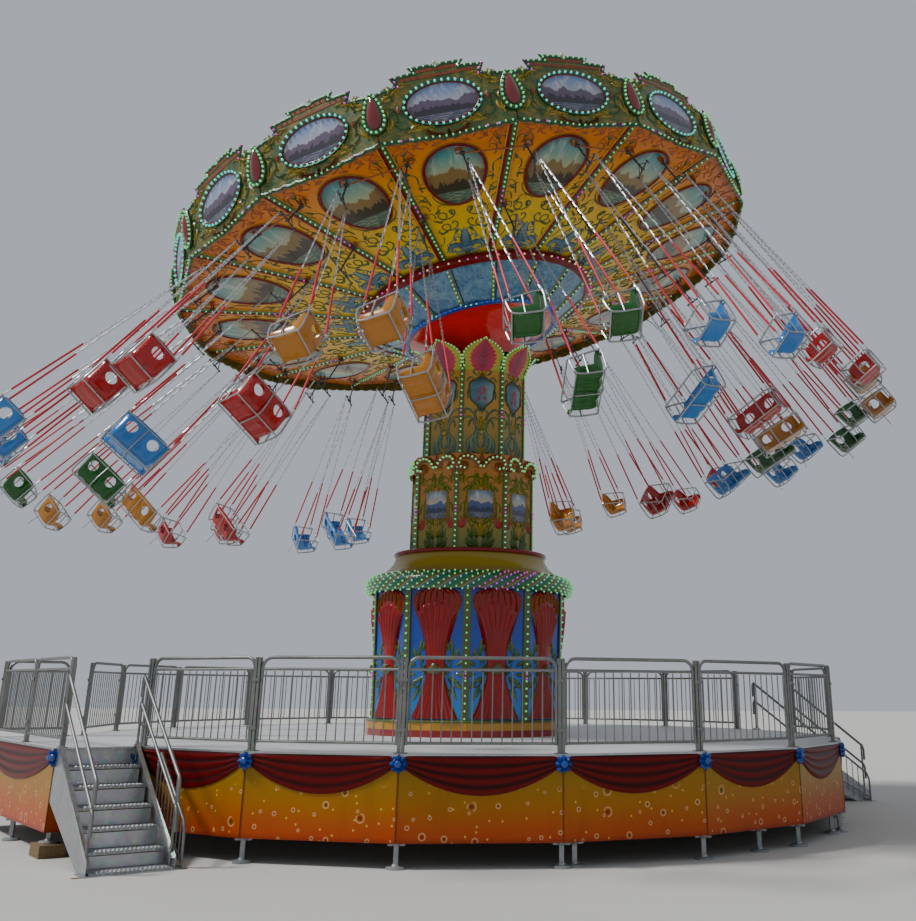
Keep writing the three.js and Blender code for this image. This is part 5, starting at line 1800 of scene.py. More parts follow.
# Tower
def tower_battens(name, radius, low, high, gap):
    corners = []
    for k in range(TOWER_SIDES):
        azimuth = TOWER_TURN + k * FULL_TURN / TOWER_SIDES
        corners.append((azimuth, polar(radius + 0.001, azimuth, low), polar(radius + 0.001, azimuth, high)))
    spans = ((0.02, gap - 0.04), (gap + 0.09, 0.985), (gap, gap + 0.05))
    size = (0.04, 0.022, 0.008)
    lit_battens(name, "tower", "tower_olive", corners, size, 0.005, 0.014, spans, (0.088, 0.07))


def tower_lower_relief():
    """On each lower face: a bouquet at the foot, a framed picture and an arch of leaves over it."""
    place = panel_place(TOWER_LOWER_RADIUS * TOWER_SHARE, TOWER_MIDDLE, COLLAR_TOP)
    gold, green, dark, red, picture, frame_form = (Form() for _ in range(6))
    scrolls = [
        (0.02, 0.42, 12, 0.46, 70, 250, 0.040), (0.03, 0.28, 30, 0.48, 40, 230, 0.040),
        (0.06, 0.46, 60, 0.36, -80, -240, 0.034), (0.27, 0.50, 88, 0.50, 6, 30, 0.036),
        (0.30, 0.98, 120, 0.30, 60, 200, 0.038), (0.03, 1.08, 30, 0.34, 60, 260, 0.042),
        (0.06, 1.20, 20, 0.34, -60, -260, 0.036), (0.26, 1.18, 60, 0.26, -90, -240, 0.030),
        (0.34, 0.62, 85, 0.30, 40, 200, 0.026), (0.33, 1.30, -120, 0.26, 60, 220, 0.028),
    ]
    arch = acanthus((0.24, 0.94), 120, 0.34, 30, 0.055, 3) + acanthus((0.02, 1.10), 78, 0.24, -20, 0.045, 2)
    green.strokes(drawn(scrolls) + mirrored(arch), place, 0.02)
    lobes = [(0.02, 0.03, heading, length, 28, 60, 0.085)
             for heading, length in ((8, 0.30), (30, 0.34), (55, 0.34))]
    lobes += [(0.03, 0.20, heading, 0.26, 30, 60, 0.070) for heading in (12, 40)]
    dark.strokes(drawn(lobes, leaf), place, 0.026)
    fans = [(0.0, 0.22, heading, 0.26, 15, 0, 0.045) for heading in (90, 66, 42)]
    fans += [(0.0, 1.02, heading, 0.18, -12, 0, 0.040) for heading in (90, 58, 26)]
    fans += [(0.30, 1.10, heading, 0.16, 20, 0, 0.036) for heading in (100, 60)]
    gold.strokes(drawn(fans, leaf), place, 0.022)
    sprays = [(0.29, 0.36, heading, length, -20, 0, 0.055)
              for heading, length in ((112, 0.22), (85, 0.20), (58, 0.16), (30, 0.12))]
    red.strokes(drawn(sprays, leaf), place, 0.016)
    low, high, half = 0.51, 1.00, 0.235
    square = [(-half + 0.02, low), (half - 0.02, low), (half, low + 0.05), (half - 0.015, (low + high) / 2),
              (half, high - 0.05), (half - 0.02, high), (-half + 0.02, high), (-half, high - 0.05),
              (-half + 0.015, (low + high) / 2), (-half, low + 0.05)]
    plaque(picture, square, place, 0.0, 0.010)
    frame_form.stroke(np.array(square + square[:1]), 0.026, 0.022, place)
    plaque(frame_form, ellipse(0.034, 0.034, (0, high + 0.02), 12), place, 0.0, 0.02, 2, 0.012)
    rows = (
        (green, "olive_stroke", "tower_lower_scrolls", "tower_olive"),
        (dark, "green_stroke", "tower_lower_lobes", None),
        (gold, "gold_stroke", "tower_lower_leaves", "tower_olive"),
        (red, "red_stroke", "tower_lower_sprays", None),
        (picture, "tower_picture", "tower_lower_pictures", None),
        (frame_form, "gold", "tower_lower_frames", "tower_olive"),
    )
    repeated(rows, TOWER_SIDES, "tower")


def tower_crest():
    """Pairs of C-scrolls on the shelf between the two parts, each with a row of lamps."""
    distance = CREST_RADIUS * TOWER_SHARE
    place = panel_place(distance, TOWER_MIDDLE, TOWER_SHELF)
    scrolls, backs = Form(), Form()
    line = curl((0.03, -0.02), 66, 0.86, -150, -320, 26)
    wide = np.interp(np.linspace(0, 1, len(line)), (0, 0.4, 1), (0.10, 0.11, 0.05))
    pair = mirrored([(line, wide)])
    scrolls.strokes(pair, place, 0.045)
    leaf_line = curl((0.0, 0.02), 90, 0.20, 0)
    scrolls.stroke(leaf_line, leaf(0.09, leaf_line), 0.04, place)
    rows = []
    for k in range(TOWER_SIDES):
        azimuth = TOWER_TURN + (k + 0.5) * FULL_TURN / TOWER_SIDES
        spot = panel_place(distance, azimuth, TOWER_SHELF)
        out = outwards(azimuth)
        for path, _ in pair:
            rows.append((loop_path(path[:21], spot, 0.04), out))
    band = [(0.004, 0.06), (0.014, 0.06), (0.014, 0.085), (0.004, 0.085)]
    backs.turned([(CREST_RADIUS + r, TOWER_SHELF + z) for r, z in band], TOWER_SIDES, TOWER_SIDES,
                 TOWER_TURN, True)
    piece(around(scrolls, TOWER_SIDES, "terracotta"), "tower_crest_scrolls", "terracotta", "tower",
          "tower_orange")
    piece(backs, "tower_crest_band", "gold", "tower", "tower_olive")
    lamps(rows, "tower_crest_lamps", "green", "tower", pitch=0.072, radius=0.022)


def tower_upper_shell():
    """The upper octagon, with petals that bend outwards at its head."""
    shell = Form()
    wall = 0.04
    shell.turned(
        [(TOWER_UPPER_RADIUS - wall, TOWER_SHELF + 0.001), (TOWER_UPPER_RADIUS, TOWER_SHELF + 0.001),
         (TOWER_UPPER_RADIUS, TOWER_UPPER_TOP), (0.5, TOWER_UPPER_TOP), (0.5, TOWER_UPPER_TOP - wall),
         (TOWER_UPPER_RADIUS - wall, TOWER_UPPER_TOP - wall)],
        TOWER_SIDES, TOWER_SIDES, TOWER_TURN, True,
    )
    piece(shell, "tower_upper_shell", "tower_upper", "tower", "tower_olive", replaces=["tower_upper"])
    distance = TOWER_UPPER_RADIUS * TOWER_SHARE
    foot, tip = TOWER_UPPER_TOP - 0.06, PETAL_TIP
    s = np.linspace(-1, 1, 17)
    t = np.linspace(0, 1, 15)
    sg, tg = np.meshgrid(s, t, indexing="ij")
    half = np.interp(t, (0, 0.25, 0.5, 0.68, 0.82, 0.92, 1.0),
                     (0.31, 0.355, 0.375, 0.33, 0.24, 0.13, 0.012))
    x = sg * half
    lean = PETAL_TIP_RADIUS - distance
    out = distance + lean * tg**1.7 - 0.05 * sg**2 * tg + 0.012
    z = foot + (tip - foot) * (tg - 0.06 * tg * (1 - tg))
    face = outwards(TOWER_MIDDLE)
    points = out[..., None] * face + x[..., None] * along(TOWER_MIDDLE) + z[..., None] * UP
    inner = points - face * 0.02
    petal = Form()
    petal.shell(np.concatenate((points, inner[:, ::-1]), 1))
    petal.fold_map()
    rows = []
    rim = np.concatenate((points[0, 2:], points[1:-1, -1], points[-1, 2:][::-1]))
    rim = rim + face * 0.004
    edging = Form()
    edging.tube(rim, 0.012, 6)
    finished = ((petal, "petal", "tower_petals", "tower_olive"),
                (edging, "gold", "tower_petal_edges", "tower_olive"))
    repeated(finished, TOWER_SIDES, "tower")
    for k in range(TOWER_SIDES):
        turn = k * FULL_TURN / TOWER_SIDES
        facing = unit(outwards(TOWER_MIDDLE + turn) + 0.3 * UP)
        rows.append((transformed(rim, Matrix.Rotation(turn, 4, "Z")), facing))
    lamps(rows, "tower_petal_lamps", "green", "tower", pitch=0.062, radius=0.018)


def tower_upper_relief():
    """On each upper face: a lobed medallion with a rose, over a tall spray of leaves."""
    place = panel_place(TOWER_UPPER_RADIUS * TOWER_SHARE, TOWER_MIDDLE, TOWER_SHELF)
    heart, edge, rose, leaves, gold = (Form() for _ in range(5))
    turn = np.arange(48) * FULL_TURN / 48
    lobed = 1 + 0.06 * np.cos(turn * 6)
    wide = 0.225 * np.sin(turn) * (1 + 0.16 * np.cos(turn)) * lobed
    tall = 1.34 + (0.27 * np.cos(turn) - 0.05 * np.exp(-((turn - np.pi) ** 2) * 4)) * lobed
    outline = np.stack((wide, tall), 1)
    plaque(heart, outline, place, 0.0, 0.012, 3, 0.012)
    edge.hoop(outline, place, 0.010, 0.014, 5)
    petals = []
    for count, radius in ((7, 0.085), (6, 0.055), (4, 0.028)):
        for i in range(count):
            at = i * 360 / count + radius * 900
            start = (math.cos(rad(at)) * radius * 0.4, 1.36 + math.sin(rad(at)) * radius * 0.4)
            line = curl(start, at + 40, radius * 1.2, 60, 0, 6)
            petals.append((line, leaf(0.045, line)))
    petals += drawn([(0.02, 1.22, heading, 0.12, 30, 0, 0.035) for heading in (-40, 0, 40)], leaf)
    rose.strokes(petals, place, 0.034)
    rows = [
        (0.02, 0.20, 35, 0.50, 60, 80, 0.090), (0.02, 0.34, 50, 0.46, 50, 160, 0.075),
        (0.04, 0.50, 62, 0.42, 60, 160, 0.055), (0.08, 0.66, 80, 0.42, -30, -160, 0.045),
        (0.05, 0.80, 50, 0.36, 50, 220, 0.042), (0.20, 0.24, 70, 0.34, 30, 60, 0.060),
        (0.14, 0.94, 60, 0.30, -70, -220, 0.036), (0.04, 0.98, 70, 0.22, 50, 160, 0.034),
        (0.22, 0.70, 90, 0.26, 40, 200, 0.030), (0.06, 1.64, 10, 0.28, 90, 250, 0.030),
        (0.24, 1.20, 80, 0.30, 20, 120, 0.026), (0.26, 1.52, 100, 0.20, 60, 200, 0.026),
    ]
    leaves.strokes(drawn(rows, leaf), place, 0.022)
    fans = [(0.0, 0.66, heading, length, 10, 0, 0.050)
            for heading, length in ((90, 0.26), (66, 0.22), (42, 0.16))]
    fans += [(0.0, 1.62, heading, 0.12, 0, 0, 0.030) for heading in (90, 50)]
    fans += [(0.0, 0.16, heading, 0.20, 12, 0, 0.050) for heading in (90, 50, 15)]
    gold.strokes(drawn(fans, leaf), place, 0.024)
    plaque(gold, ellipse(0.034, 0.050, (0, 0.62), 12), place, 0.0, 0.02, 2, 0.012)
    rows = (
        (heart, "blue_stroke", "tower_medallions", None),
        (edge, "green_stroke", "tower_medallion_edges", None), (rose, "rose_stroke", "tower_roses", None),
        (leaves, "sage_stroke", "tower_upper_leaves", None),
        (gold, "gold_stroke", "tower_upper_gold", "tower_olive"),
    )
    repeated(rows, TOWER_SIDES, "tower")


tower_battens("tower_lower", TOWER_LOWER_RADIUS, COLLAR_TOP + 0.01, TOWER_SHELF - 0.02, 0.45)
tower_battens("tower_upper", TOWER_UPPER_RADIUS, TOWER_SHELF + 0.14, TOWER_UPPER_TOP - 0.02, 0.47)
tower_lower_relief()
tower_crest()
tower_upper_shell()
tower_upper_relief()


# Crown, in its own frame: z = 0 at the rim of its underside
SECTOR_SHARE = math.cos(math.pi / SECTORS)
EDGE_RADIUS = (BOARD_DISTANCE - 0.0003) / SECTOR_SHARE
EDGE_HEIGHT = 0.15


def underside_place(azimuth):
    """Points under a sector: x across, y from the axis along its middle, height down."""
    out, side = outwards(azimuth), along(azimuth)

    def place(p):
        p = np.asarray(p, float)
        z = np.array([underside_at(y / SECTOR_SHARE) for y in p[:, 1]])
        return p[:, 1:2] * out + p[:, :1] * side + (z - p[:, 2])[:, None] * UP

    return place


OVAL_CENTRE = (0.0, 4.19)
OVAL_HALF = (0.46, 0.68)
OVAL_EGG = 0.16


def underside_shell():
    shell = Form()
    skin = 0.04
    inner, knee = UNDERSIDE_INNER, UNDERSIDE_KNEE
    lower = [(r, underside_at(r)) for r in (inner, 2.5, knee, 3.5, 4.0, 4.5, 5.0, EDGE_RADIUS)]
    upper = [(EDGE_RADIUS - skin, underside_at(EDGE_RADIUS) + skin), (knee, underside_at(knee) + skin),
             (inner, underside_at(inner) + skin)]
    profile = lower + [(EDGE_RADIUS, EDGE_HEIGHT), (EDGE_RADIUS - skin, EDGE_HEIGHT)] + upper
    shell.turned(profile, SECTORS * 4, SECTORS, CROWN_TURN, True)
    # The map's second direction is the distance from the hub
    points = np.concatenate(shell.points)
    for faces, maps in zip(shell.faces[4], shell.maps[4]):
        reach = np.hypot(points[faces][..., 0], points[faces][..., 1])
        maps[..., 1] = (reach - inner) / (EDGE_RADIUS - inner)
    piece(shell, "crown_underside_shell", "underside", "crown", "crown_yellow", CROWN, 30,
          ["crown_underside"])
    steel = Form()
    steel.turned([(0.153, -0.385), (0.30, -0.385), (0.30, 0.37), (0.153, 0.37)], 32, closed=True)
    for k in range(SECTORS):
        a = rib_azimuth(k)
        steel.tube([polar(0.28, a, 0.20), polar(EDGE_RADIUS - 0.12, a, 0.10)], 0.035, 6)
    piece(steel, "crown_arms", "dark_steel", "crown", "dark_steel", CROWN)


def underside_ornament():
    place = underside_place(rib_azimuth(0.5))
    green, blue, rust, picture, frame_line, rim = (Form() for _ in range(6))
    beside = [
        (0.10, 3.46, 12, 0.62, 75, 30, 0.040), (0.47, 3.55, 70, 0.50, 30, -200, 0.034),
        (0.56, 3.92, 60, 0.34, 60, 220, 0.030), (0.60, 4.12, 95, 0.46, -40, -240, 0.034),
        (0.66, 4.52, 60, 0.40, 60, 240, 0.030), (0.76, 4.70, 110, 0.34, -60, -240, 0.030),
        (0.50, 3.42, 80, 0.40, -60, -260, 0.026), (0.36, 3.34, 70, 0.34, 80, 200, 0.024),
        (0.86, 4.72, 80, 0.30, 40, 240, 0.026), (0.52, 3.80, -60, 0.34, 60, 240, 0.026),
        (0.44, 3.20, 100, 0.30, -80, -220, 0.024), (0.36, 2.70, -100, 0.42, 50, 300, 0.024),
        (0.30, 2.40, -80, 0.26, -60, -240, 0.020), (0.40, 2.90, -70, 0.26, -70, -260, 0.022),
    ]
    green_strokes = drawn(beside)
    for start, end, turns, size in (
        ((0.13, 3.30), (0.42, 3.16), 2.0, 0.115), ((0.11, 3.00), (0.38, 2.86), 2.0, 0.110),
    ):
        line = cursive(start, end, turns, size)
        green_strokes += mirrored([(line, np.full(len(line), 0.028))])
    leaves = [(x, y, heading, 0.15, 40, 0, 0.05) for x, y, heading in (
        (0.33, 3.06, 20), (0.26, 2.84, -40), (0.14, 3.22, 60), (0.42, 3.30, 110), (0.10, 2.86, -80),
        (0.62, 4.00, 160), (0.70, 4.36, 30), (0.74, 4.80, 100), (0.52, 3.66, 20),
        (0.80, 4.60, -20))]
    green.strokes(green_strokes + drawn(leaves, leaf), place, 0.012)
    scrolls = [
        (0.06, 5.00, 15, 0.40, 30, 260, 0.036), (0.12, 5.14, -10, 0.34, -60, -240, 0.034),
        (0.36, 4.98, 70, 0.32, -90, -240, 0.036), (0.42, 4.90, 15, 0.38, 40, 280, 0.038),
        (0.60, 4.80, 70, 0.36, -70, -260, 0.036), (0.68, 4.98, 10, 0.30, 70, 240, 0.034),
        (0.70, 4.66, 80, 0.34, 60, 240, 0.032), (0.82, 5.02, 130, 0.34, 80, 240, 0.032),
        (0.90, 4.86, 100, 0.28, 60, 220, 0.030),
    ]
    rust_leaves = [(x, y, heading, 0.18, 30, 0, 0.06) for x, y, heading in (
        (0.22, 5.10, 60), (0.50, 5.08, 40), (0.74, 4.86, 110), (0.30, 4.92, 150), (0.88, 5.08, 150),
        (0.58, 4.92, 120))]
    rust.strokes(drawn(scrolls) + drawn(rust_leaves, leaf), place, 0.012)
    blue.strokes(lily((0.0, 2.16), 0.66), place, 0.018)
    curls = [
        (0.06, 2.30, 40, 0.34, 60, 240, 0.040), (0.10, 2.22, 10, 0.24, 60, 200, 0.034),
        (0.07, 2.58, 60, 0.26, -70, -240, 0.030), (0.20, 2.42, 70, 0.26, -80, -260, 0.030),
        (0.24, 2.28, 60, 0.20, -90, -200, 0.026), (0.05, 2.70, 100, 0.30, -60, -260, 0.032),
        (0.16, 2.56, 60, 0.30, 60, 260, 0.032), (0.28, 2.46, 95, 0.24, 50, 220, 0.026),
        (0.04, 2.16, 0, 0.26, 30, 160, 0.034),
    ]
    blue.strokes(drawn(curls), place, 0.014)
    a, b = OVAL_HALF
    plaque(picture, ellipse(a, b, OVAL_CENTRE, 48, OVAL_EGG), place, 0.0, 0.016, 3, 0.0)
    ring = ellipse(a + 0.022, b + 0.022, OVAL_CENTRE, 56, OVAL_EGG)
    frame_line.hoop(ring, place, 0.012, 0.026, 6, 0.8)
    ring = ellipse(a + 0.062, b + 0.062, OVAL_CENTRE, 56, OVAL_EGG)
    rim.hoop(ring, place, 0.004, 0.010, 5)
    rows = (
        (green, "green_stroke", "underside_scrolls", None), (blue, "blue_stroke", "underside_lilies", None),
        (rust, "rust_stroke", "underside_rim_scrolls", None),
        (picture, "sail_picture", "underside_pictures", None),
        (frame_line, "maroon", "underside_frames", "crown_yellow"),
        (rim, "gold", "underside_frame_lines", "olive_gold"),
    )
    repeated(rows, SECTORS, "crown", CROWN)


def underside_ribs():
    """Along each rib: a batten with lamps, a dark red seam and a cream line."""
    battens, seams, lines = Form(), Form(), Form()
    rows, pink = [], []
    for k in range(SECTORS):
        azimuth = rib_azimuth(k)
        side = along(azimuth)
        for low, high in ((UNDERSIDE_INNER + 0.11, UNDERSIDE_KNEE), (UNDERSIDE_KNEE, EDGE_RADIUS - 0.03)):
            start = polar(low, azimuth, underside_at(low))
            end = polar(high, azimuth, underside_at(high))
            batten(battens, start, end, side, (0.042, 0.030, 0.014), 0.004)
            batten(seams, start, end, side, (0.024, 0.040, 0.014), 0.004, -0.066)
            batten(lines, start, end, side, (0.010, 0.030, 0.014), 0.004, -0.100)
            batten(lines, start, end, side, (0.006, 0.028, 0.014), 0.003, 0.058)
        spans = ((rows, (2.20, UNDERSIDE_KNEE, 3.35)), (pink, (3.45, 3.70)), (rows, (3.80, 5.22)))
        for lit, span in spans:
            lit.append(([polar(r, azimuth, underside_at(r) - 0.016) for r in span], -UP))
    piece(battens, "underside_battens", "batten", "crown", "olive_gold", CROWN)
    piece(seams, "underside_seams", "maroon", "crown", "bell_red", CROWN)
    piece(lines, "underside_lines", "cream", "crown", "crown_yellow", CROWN)
    lamps(rows, "underside_lamps", "green", "crown", CROWN, pitch=0.105)
    lamps(pink, "underside_lamps_pink", "pink", "crown", CROWN, pitch=0.105)


def arc(points, facings, first, last):
    """A row of lamps along part of a ring of points."""
    span = np.arange(first, last) % len(points)
    return [points[j] for j in span], facings[span]


def disc_trim():
    """The maroon band with lamps round the disc, the gores' ribs and the blue ring over the bell."""
    band, ribs, seams, ring = Form(), Form(), Form(), Form()
    band.turned(
        [(2.085, -0.585), (2.16, -0.575), (2.215, -0.60), (2.235, -0.66), (2.215, -0.72), (2.13, -0.752),
         (2.09, -0.735)],
        ROUND_STEPS, closed=True,
    )
    n = ROUND_STEPS
    turns = np.arange(n) * FULL_TURN / n
    circle = [polar(2.225, t, -0.69) for t in turns]
    facing = np.array([unit(polar(0.9, t, -0.5)) for t in turns])
    white, pink, gores = [], [], []
    for i in range(0, n, 6):
        white.append(arc(circle, facing, i, i + 5))
        pink.append(arc(circle, facing, i + 5, i + 7))
    for k in range(SECTORS):
        a = rib_azimuth(k)
        start, end = polar(2.07, a, -0.752), polar(1.47, a, DISC_BOTTOM + 0.012)
        normal = unit(polar(0.42, a, -0.63))
        ribs.tube([start, (start + end) / 2, end], 0.022, 6, flat=0.7)
        seams.tube([polar(2.07, a + 0.03, -0.748), polar(1.47, a + 0.04, DISC_BOTTOM + 0.012)], 0.012, 5)
        gores.append(([start + normal * 0.016, end + normal * 0.016], normal))
    ring.turned([(1.35, DISC_BOTTOM), (1.45, DISC_BOTTOM), (1.475, DISC_BOTTOM - 0.03),
                 (1.465, DISC_BOTTOM - 0.06), (1.40, DISC_BOTTOM - 0.075),
                 (1.35, DISC_BOTTOM - 0.045)], ROUND_STEPS, closed=True)
    low = [polar(1.465, t, DISC_BOTTOM - 0.042) for t in turns]
    out = np.array([unit(polar(0.7, t, -0.7)) for t in turns])
    blue, teal = [], []
    for i in range(0, n, 8):
        blue.append(arc(low, out, i, i + 5))
        teal.append(arc(low, out, i + 5, i + 8))
    piece(band, "disc_band", "maroon", "crown", "bell_red", CROWN)
    piece(ribs, "disc_ribs", "gold", "crown", "olive_gold", CROWN)
    piece(seams, "disc_seams", "dark_steel", "crown", "dark_steel", CROWN)
    piece(ring, "bell_ring", "rosette", "crown", "disc_blue", CROWN)
    lamps(white, "disc_band_lamps", "white", "crown", CROWN, pitch=0.15, radius=0.019)
    lamps(pink, "disc_band_lamps_pink", "pink", "crown", CROWN, pitch=0.15, radius=0.019)
    lamps(gores, "disc_lamps", "green", "crown", CROWN, pitch=0.085)
    lamps(blue, "bell_ring_lamps", "blue", "crown", CROWN, pitch=0.092)
    lamps(teal, "bell_ring_lamps_teal", "teal", "crown", CROWN, pitch=0.092)


def bell():
    """The red bell under the disc, in one smooth curve."""
    outer = [(1.36, 0.0), (1.43, 0.0), (1.42, 0.03), (1.32, 0.048), (1.20, 0.078), (1.10, 0.115),
             (1.0, 0.165), (0.92, 0.215), (0.85, 0.272), (0.79, 0.335), (0.73, 0.40), (0.68, 0.46),
             (0.655, 0.52), (0.635, 0.60),
             (0.625, 0.68)]
    inner = [(0.60, 0.68), (0.622, 0.56), (0.65, 0.46), (0.70, 0.38), (0.76, 0.315), (0.83, 0.245),
             (0.91, 0.185), (1.0, 0.132), (1.12, 0.08), (1.25, 0.04)]
    form = Form()
    form.turned([(r, DISC_BOTTOM - 0.001 - drop) for r, drop in outer + inner], ROUND_STEPS, closed=True)
    piece(form, "bell_shell", "bell", "crown", "bell_red", CROWN, 60, ["crown_bell"])


BOARD_HALF = BOARD_DISTANCE * math.tan(math.pi / SECTORS)
BOARD_WIDTH = 2 * BOARD_HALF


def board_top():
    """The right half of a board's stepped upper edge, from its joint to its middle."""
    half, step, plateau = BOARD_HALF - 0.006, 0.335 * BOARD_WIDTH, 0.19 * BOARD_WIDTH
    low, mid, top = BOARD_TOP - 0.33, BOARD_TOP - 0.12, BOARD_TOP
    return [
        (half, low - 0.07), (half - 0.05, low - 0.035), (half - 0.14, low - 0.01),
        (half - 0.24, low + 0.01), (step - 0.02, low + 0.02), (step - 0.07, low + 0.03),
        (step - 0.035, low + 0.12), (step + 0.015, mid + 0.005), (step - 0.05, mid - 0.006),
        (plateau + 0.12, mid + 0.012), (plateau, mid + 0.016), (plateau - 0.07, mid + 0.02),
        (plateau - 0.04, mid + 0.07), (plateau + 0.02, top + 0.006), (plateau - 0.06, top - 0.006),
        (0.10, top), (0.07, top), (0.05, top - 0.035), (0.0, top - 0.035),
    ]


def board_bottom():
    """The right half of its scalloped lower edge, from its middle to its joint."""
    points = []
    scallops = 5
    for i in range(scallops):
        for j in range(6):
            t = (i + j / 6) / scallops
            dip = 0.024 * abs(math.sin(math.pi * j / 6))
            points.append(((BOARD_HALF - 0.008) * t, BOARD_BOTTOM + 0.02 + 0.078 * t**0.8 - dip))
    points.append((BOARD_HALF - 0.008, BOARD_BOTTOM + 0.095))
    return points


RIM_OVAL = (0.55, 0.35)
RIM_OVAL_CENTRE = (0.0, 0.47)


def rim_boards():
    place = panel_place(BOARD_DISTANCE + BOARD_THICKNESS, rib_azimuth(0.5))
    top, bottom = board_top(), board_bottom()
    outline = bottom + top + [(-x, y) for x, y in top[::-1][1:]] + [(-x, y) for x, y in bottom[::-1][:-1]]
    azimuth = rib_azimuth(0.5)
    flat = basis(along(azimuth), UP, outwards(azimuth), polar(BOARD_DISTANCE, azimuth))
    board = Form()
    board.prism(outline, BOARD_THICKNESS, flat, 0.004)
    piece(around(board, SECTORS, "board"), "rim_panels", "board", "crown", "olive_gold", CROWN,
          replaces=["rim_boards"])
    trim, border, inner, picture, terracotta, gold, green, dark = (Form() for _ in range(8))
    upper = np.array([(-x, y) for x, y in top] + top[::-1][1:]) * (0.985, 1) - (0.0, 0.026)
    lower = np.array([(-x, y) for x, y in bottom[::-1]] + bottom[1:]) + (0.0, 0.03)
    trim.stroke(upper, 0.070, 0.014, place)
    trim.stroke(lower, 0.062, 0.014, place)
    plaque(picture, ellipse(*RIM_OVAL, RIM_OVAL_CENTRE, 48), place, 0.0, 0.012)
    a, b = RIM_OVAL
    ring = ellipse(a + 0.042, b + 0.040, RIM_OVAL_CENTRE, 48)
    border.hoop(ring, place, 0.006, 0.040, 6, 0.5)
    inner.hoop(ellipse(a + 0.003, b + 0.003, RIM_OVAL_CENTRE, 48), place, 0.012, 0.010, 5)
    for width, low, high in ((0.58, BOARD_TOP - 0.235, BOARD_TOP - 0.185),
                             (0.31, BOARD_TOP - 0.125, BOARD_TOP - 0.072)):
        plaque(terracotta, [(-width, low), (width, low), (width, high), (-width, high)], place, 0.0, 0.006,
               1)
    for side in (-1, 1):
        x = side * (a + 0.135)
        plaque(terracotta, [(x - 0.045, 0.47), (x, 0.40), (x + 0.045, 0.47), (x, 0.54)], place, 0.0, 0.012,
               1, 0.02)
    leaves = acanthus((0.90, 0.10), 110, 0.56, -50, 0.080, 3, -120)
    leaves += acanthus((0.60, 0.04), 150, 0.48, 40, 0.065, 3, 90)
    leaves += acanthus((0.94, 0.66), 165, 0.42, -60, 0.060, 3, -160)
    leaves += acanthus((0.44, 0.90), 10, 0.34, -60, 0.045, 2, -120)
    leaves += acanthus((0.30, 0.02), 20, 0.34, 30, 0.050, 2, 100)
    gold.strokes(mirrored(leaves), place, 0.020)
    vines = [
        (0.72, 0.26, 95, 0.50, -30, -240, 0.038), (0.86, 0.30, 100, 0.46, 60, 200, 0.038),
        (0.30, 0.05, 170, 0.36, -60, -200, 0.032), (0.56, 0.92, 30, 0.26, -90, -200, 0.028),
        (0.74, 0.66, 60, 0.32, 80, 160, 0.034), (0.98, 0.20, 95, 0.40, 20, 160, 0.032),
        (0.50, 0.06, 60, 0.28, -80, -240, 0.028), (0.66, 0.12, 20, 0.30, 70, 220, 0.030),
        (0.84, 0.78, 150, 0.24, 60, 220, 0.026), (0.96, 0.56, 120, 0.24, -60, -240, 0.026),
    ]
    green.strokes(drawn(vines), place, 0.022)
    carving = acanthus((0.02, BOARD_BOTTOM + 0.06), 8, 0.40, 20, 0.055, 3,
                       40) + acanthus((0.0, BOARD_BOTTOM + 0.02), 90, 0.16, 0, 0.05, 2)
    dark.strokes(mirrored(carving), place, 0.030)
    rows = (
        (trim, "rim_green", "rim_trim", None), (border, "teal", "rim_borders", None),
        (inner, "maroon", "rim_picture_edges", None), (picture, "rim_picture", "rim_pictures", None),
        (terracotta, "terracotta", "rim_terracotta", None), (gold, "gold_stroke", "rim_acanthus", None),
        (green, "leaf_stroke", "rim_scrolls", None), (dark, "dark_stroke", "rim_carvings", None),
    )
    repeated(rows, SECTORS, "crown", CROWN)
    green_rows, teal_rows, pink_rows = [], [], []
    n, m = len(upper), len(lower)
    for k in range(SECTORS):
        spot = panel_place(BOARD_DISTANCE + BOARD_THICKNESS, rib_azimuth(k + 0.5))
        out = outwards(rib_azimuth(k + 0.5))
        spans = [
            (upper, 0, 4, green_rows), (upper, 5, 8, pink_rows), (upper, 8, n - 8, green_rows),
            (upper, n - 8, n - 5, pink_rows), (upper, n - 4, n, green_rows), (lower, 2, 9, green_rows),
            (lower, 9, 14, pink_rows), (lower, 14, m - 14, green_rows), (lower, m - 14, m - 9, pink_rows),
            (lower, m - 9, m - 2, green_rows),
        ]
        for line, start, end, rows in spans:
            rows.append((loop_path(line[start:end], spot, 0.012), out))
        teal_rows.append((loop_path(ring, spot, 0.022), out, True))
    lamps(green_rows, "rim_lamps", "green", "crown", CROWN, pitch=0.096, radius=0.017)
    lamps(pink_rows, "rim_lamps_pink", "pink", "crown", CROWN, pitch=0.096, radius=0.017)
    lamps(teal_rows, "rim_oval_lamps", "teal", "crown", CROWN, pitch=0.104, radius=0.023)


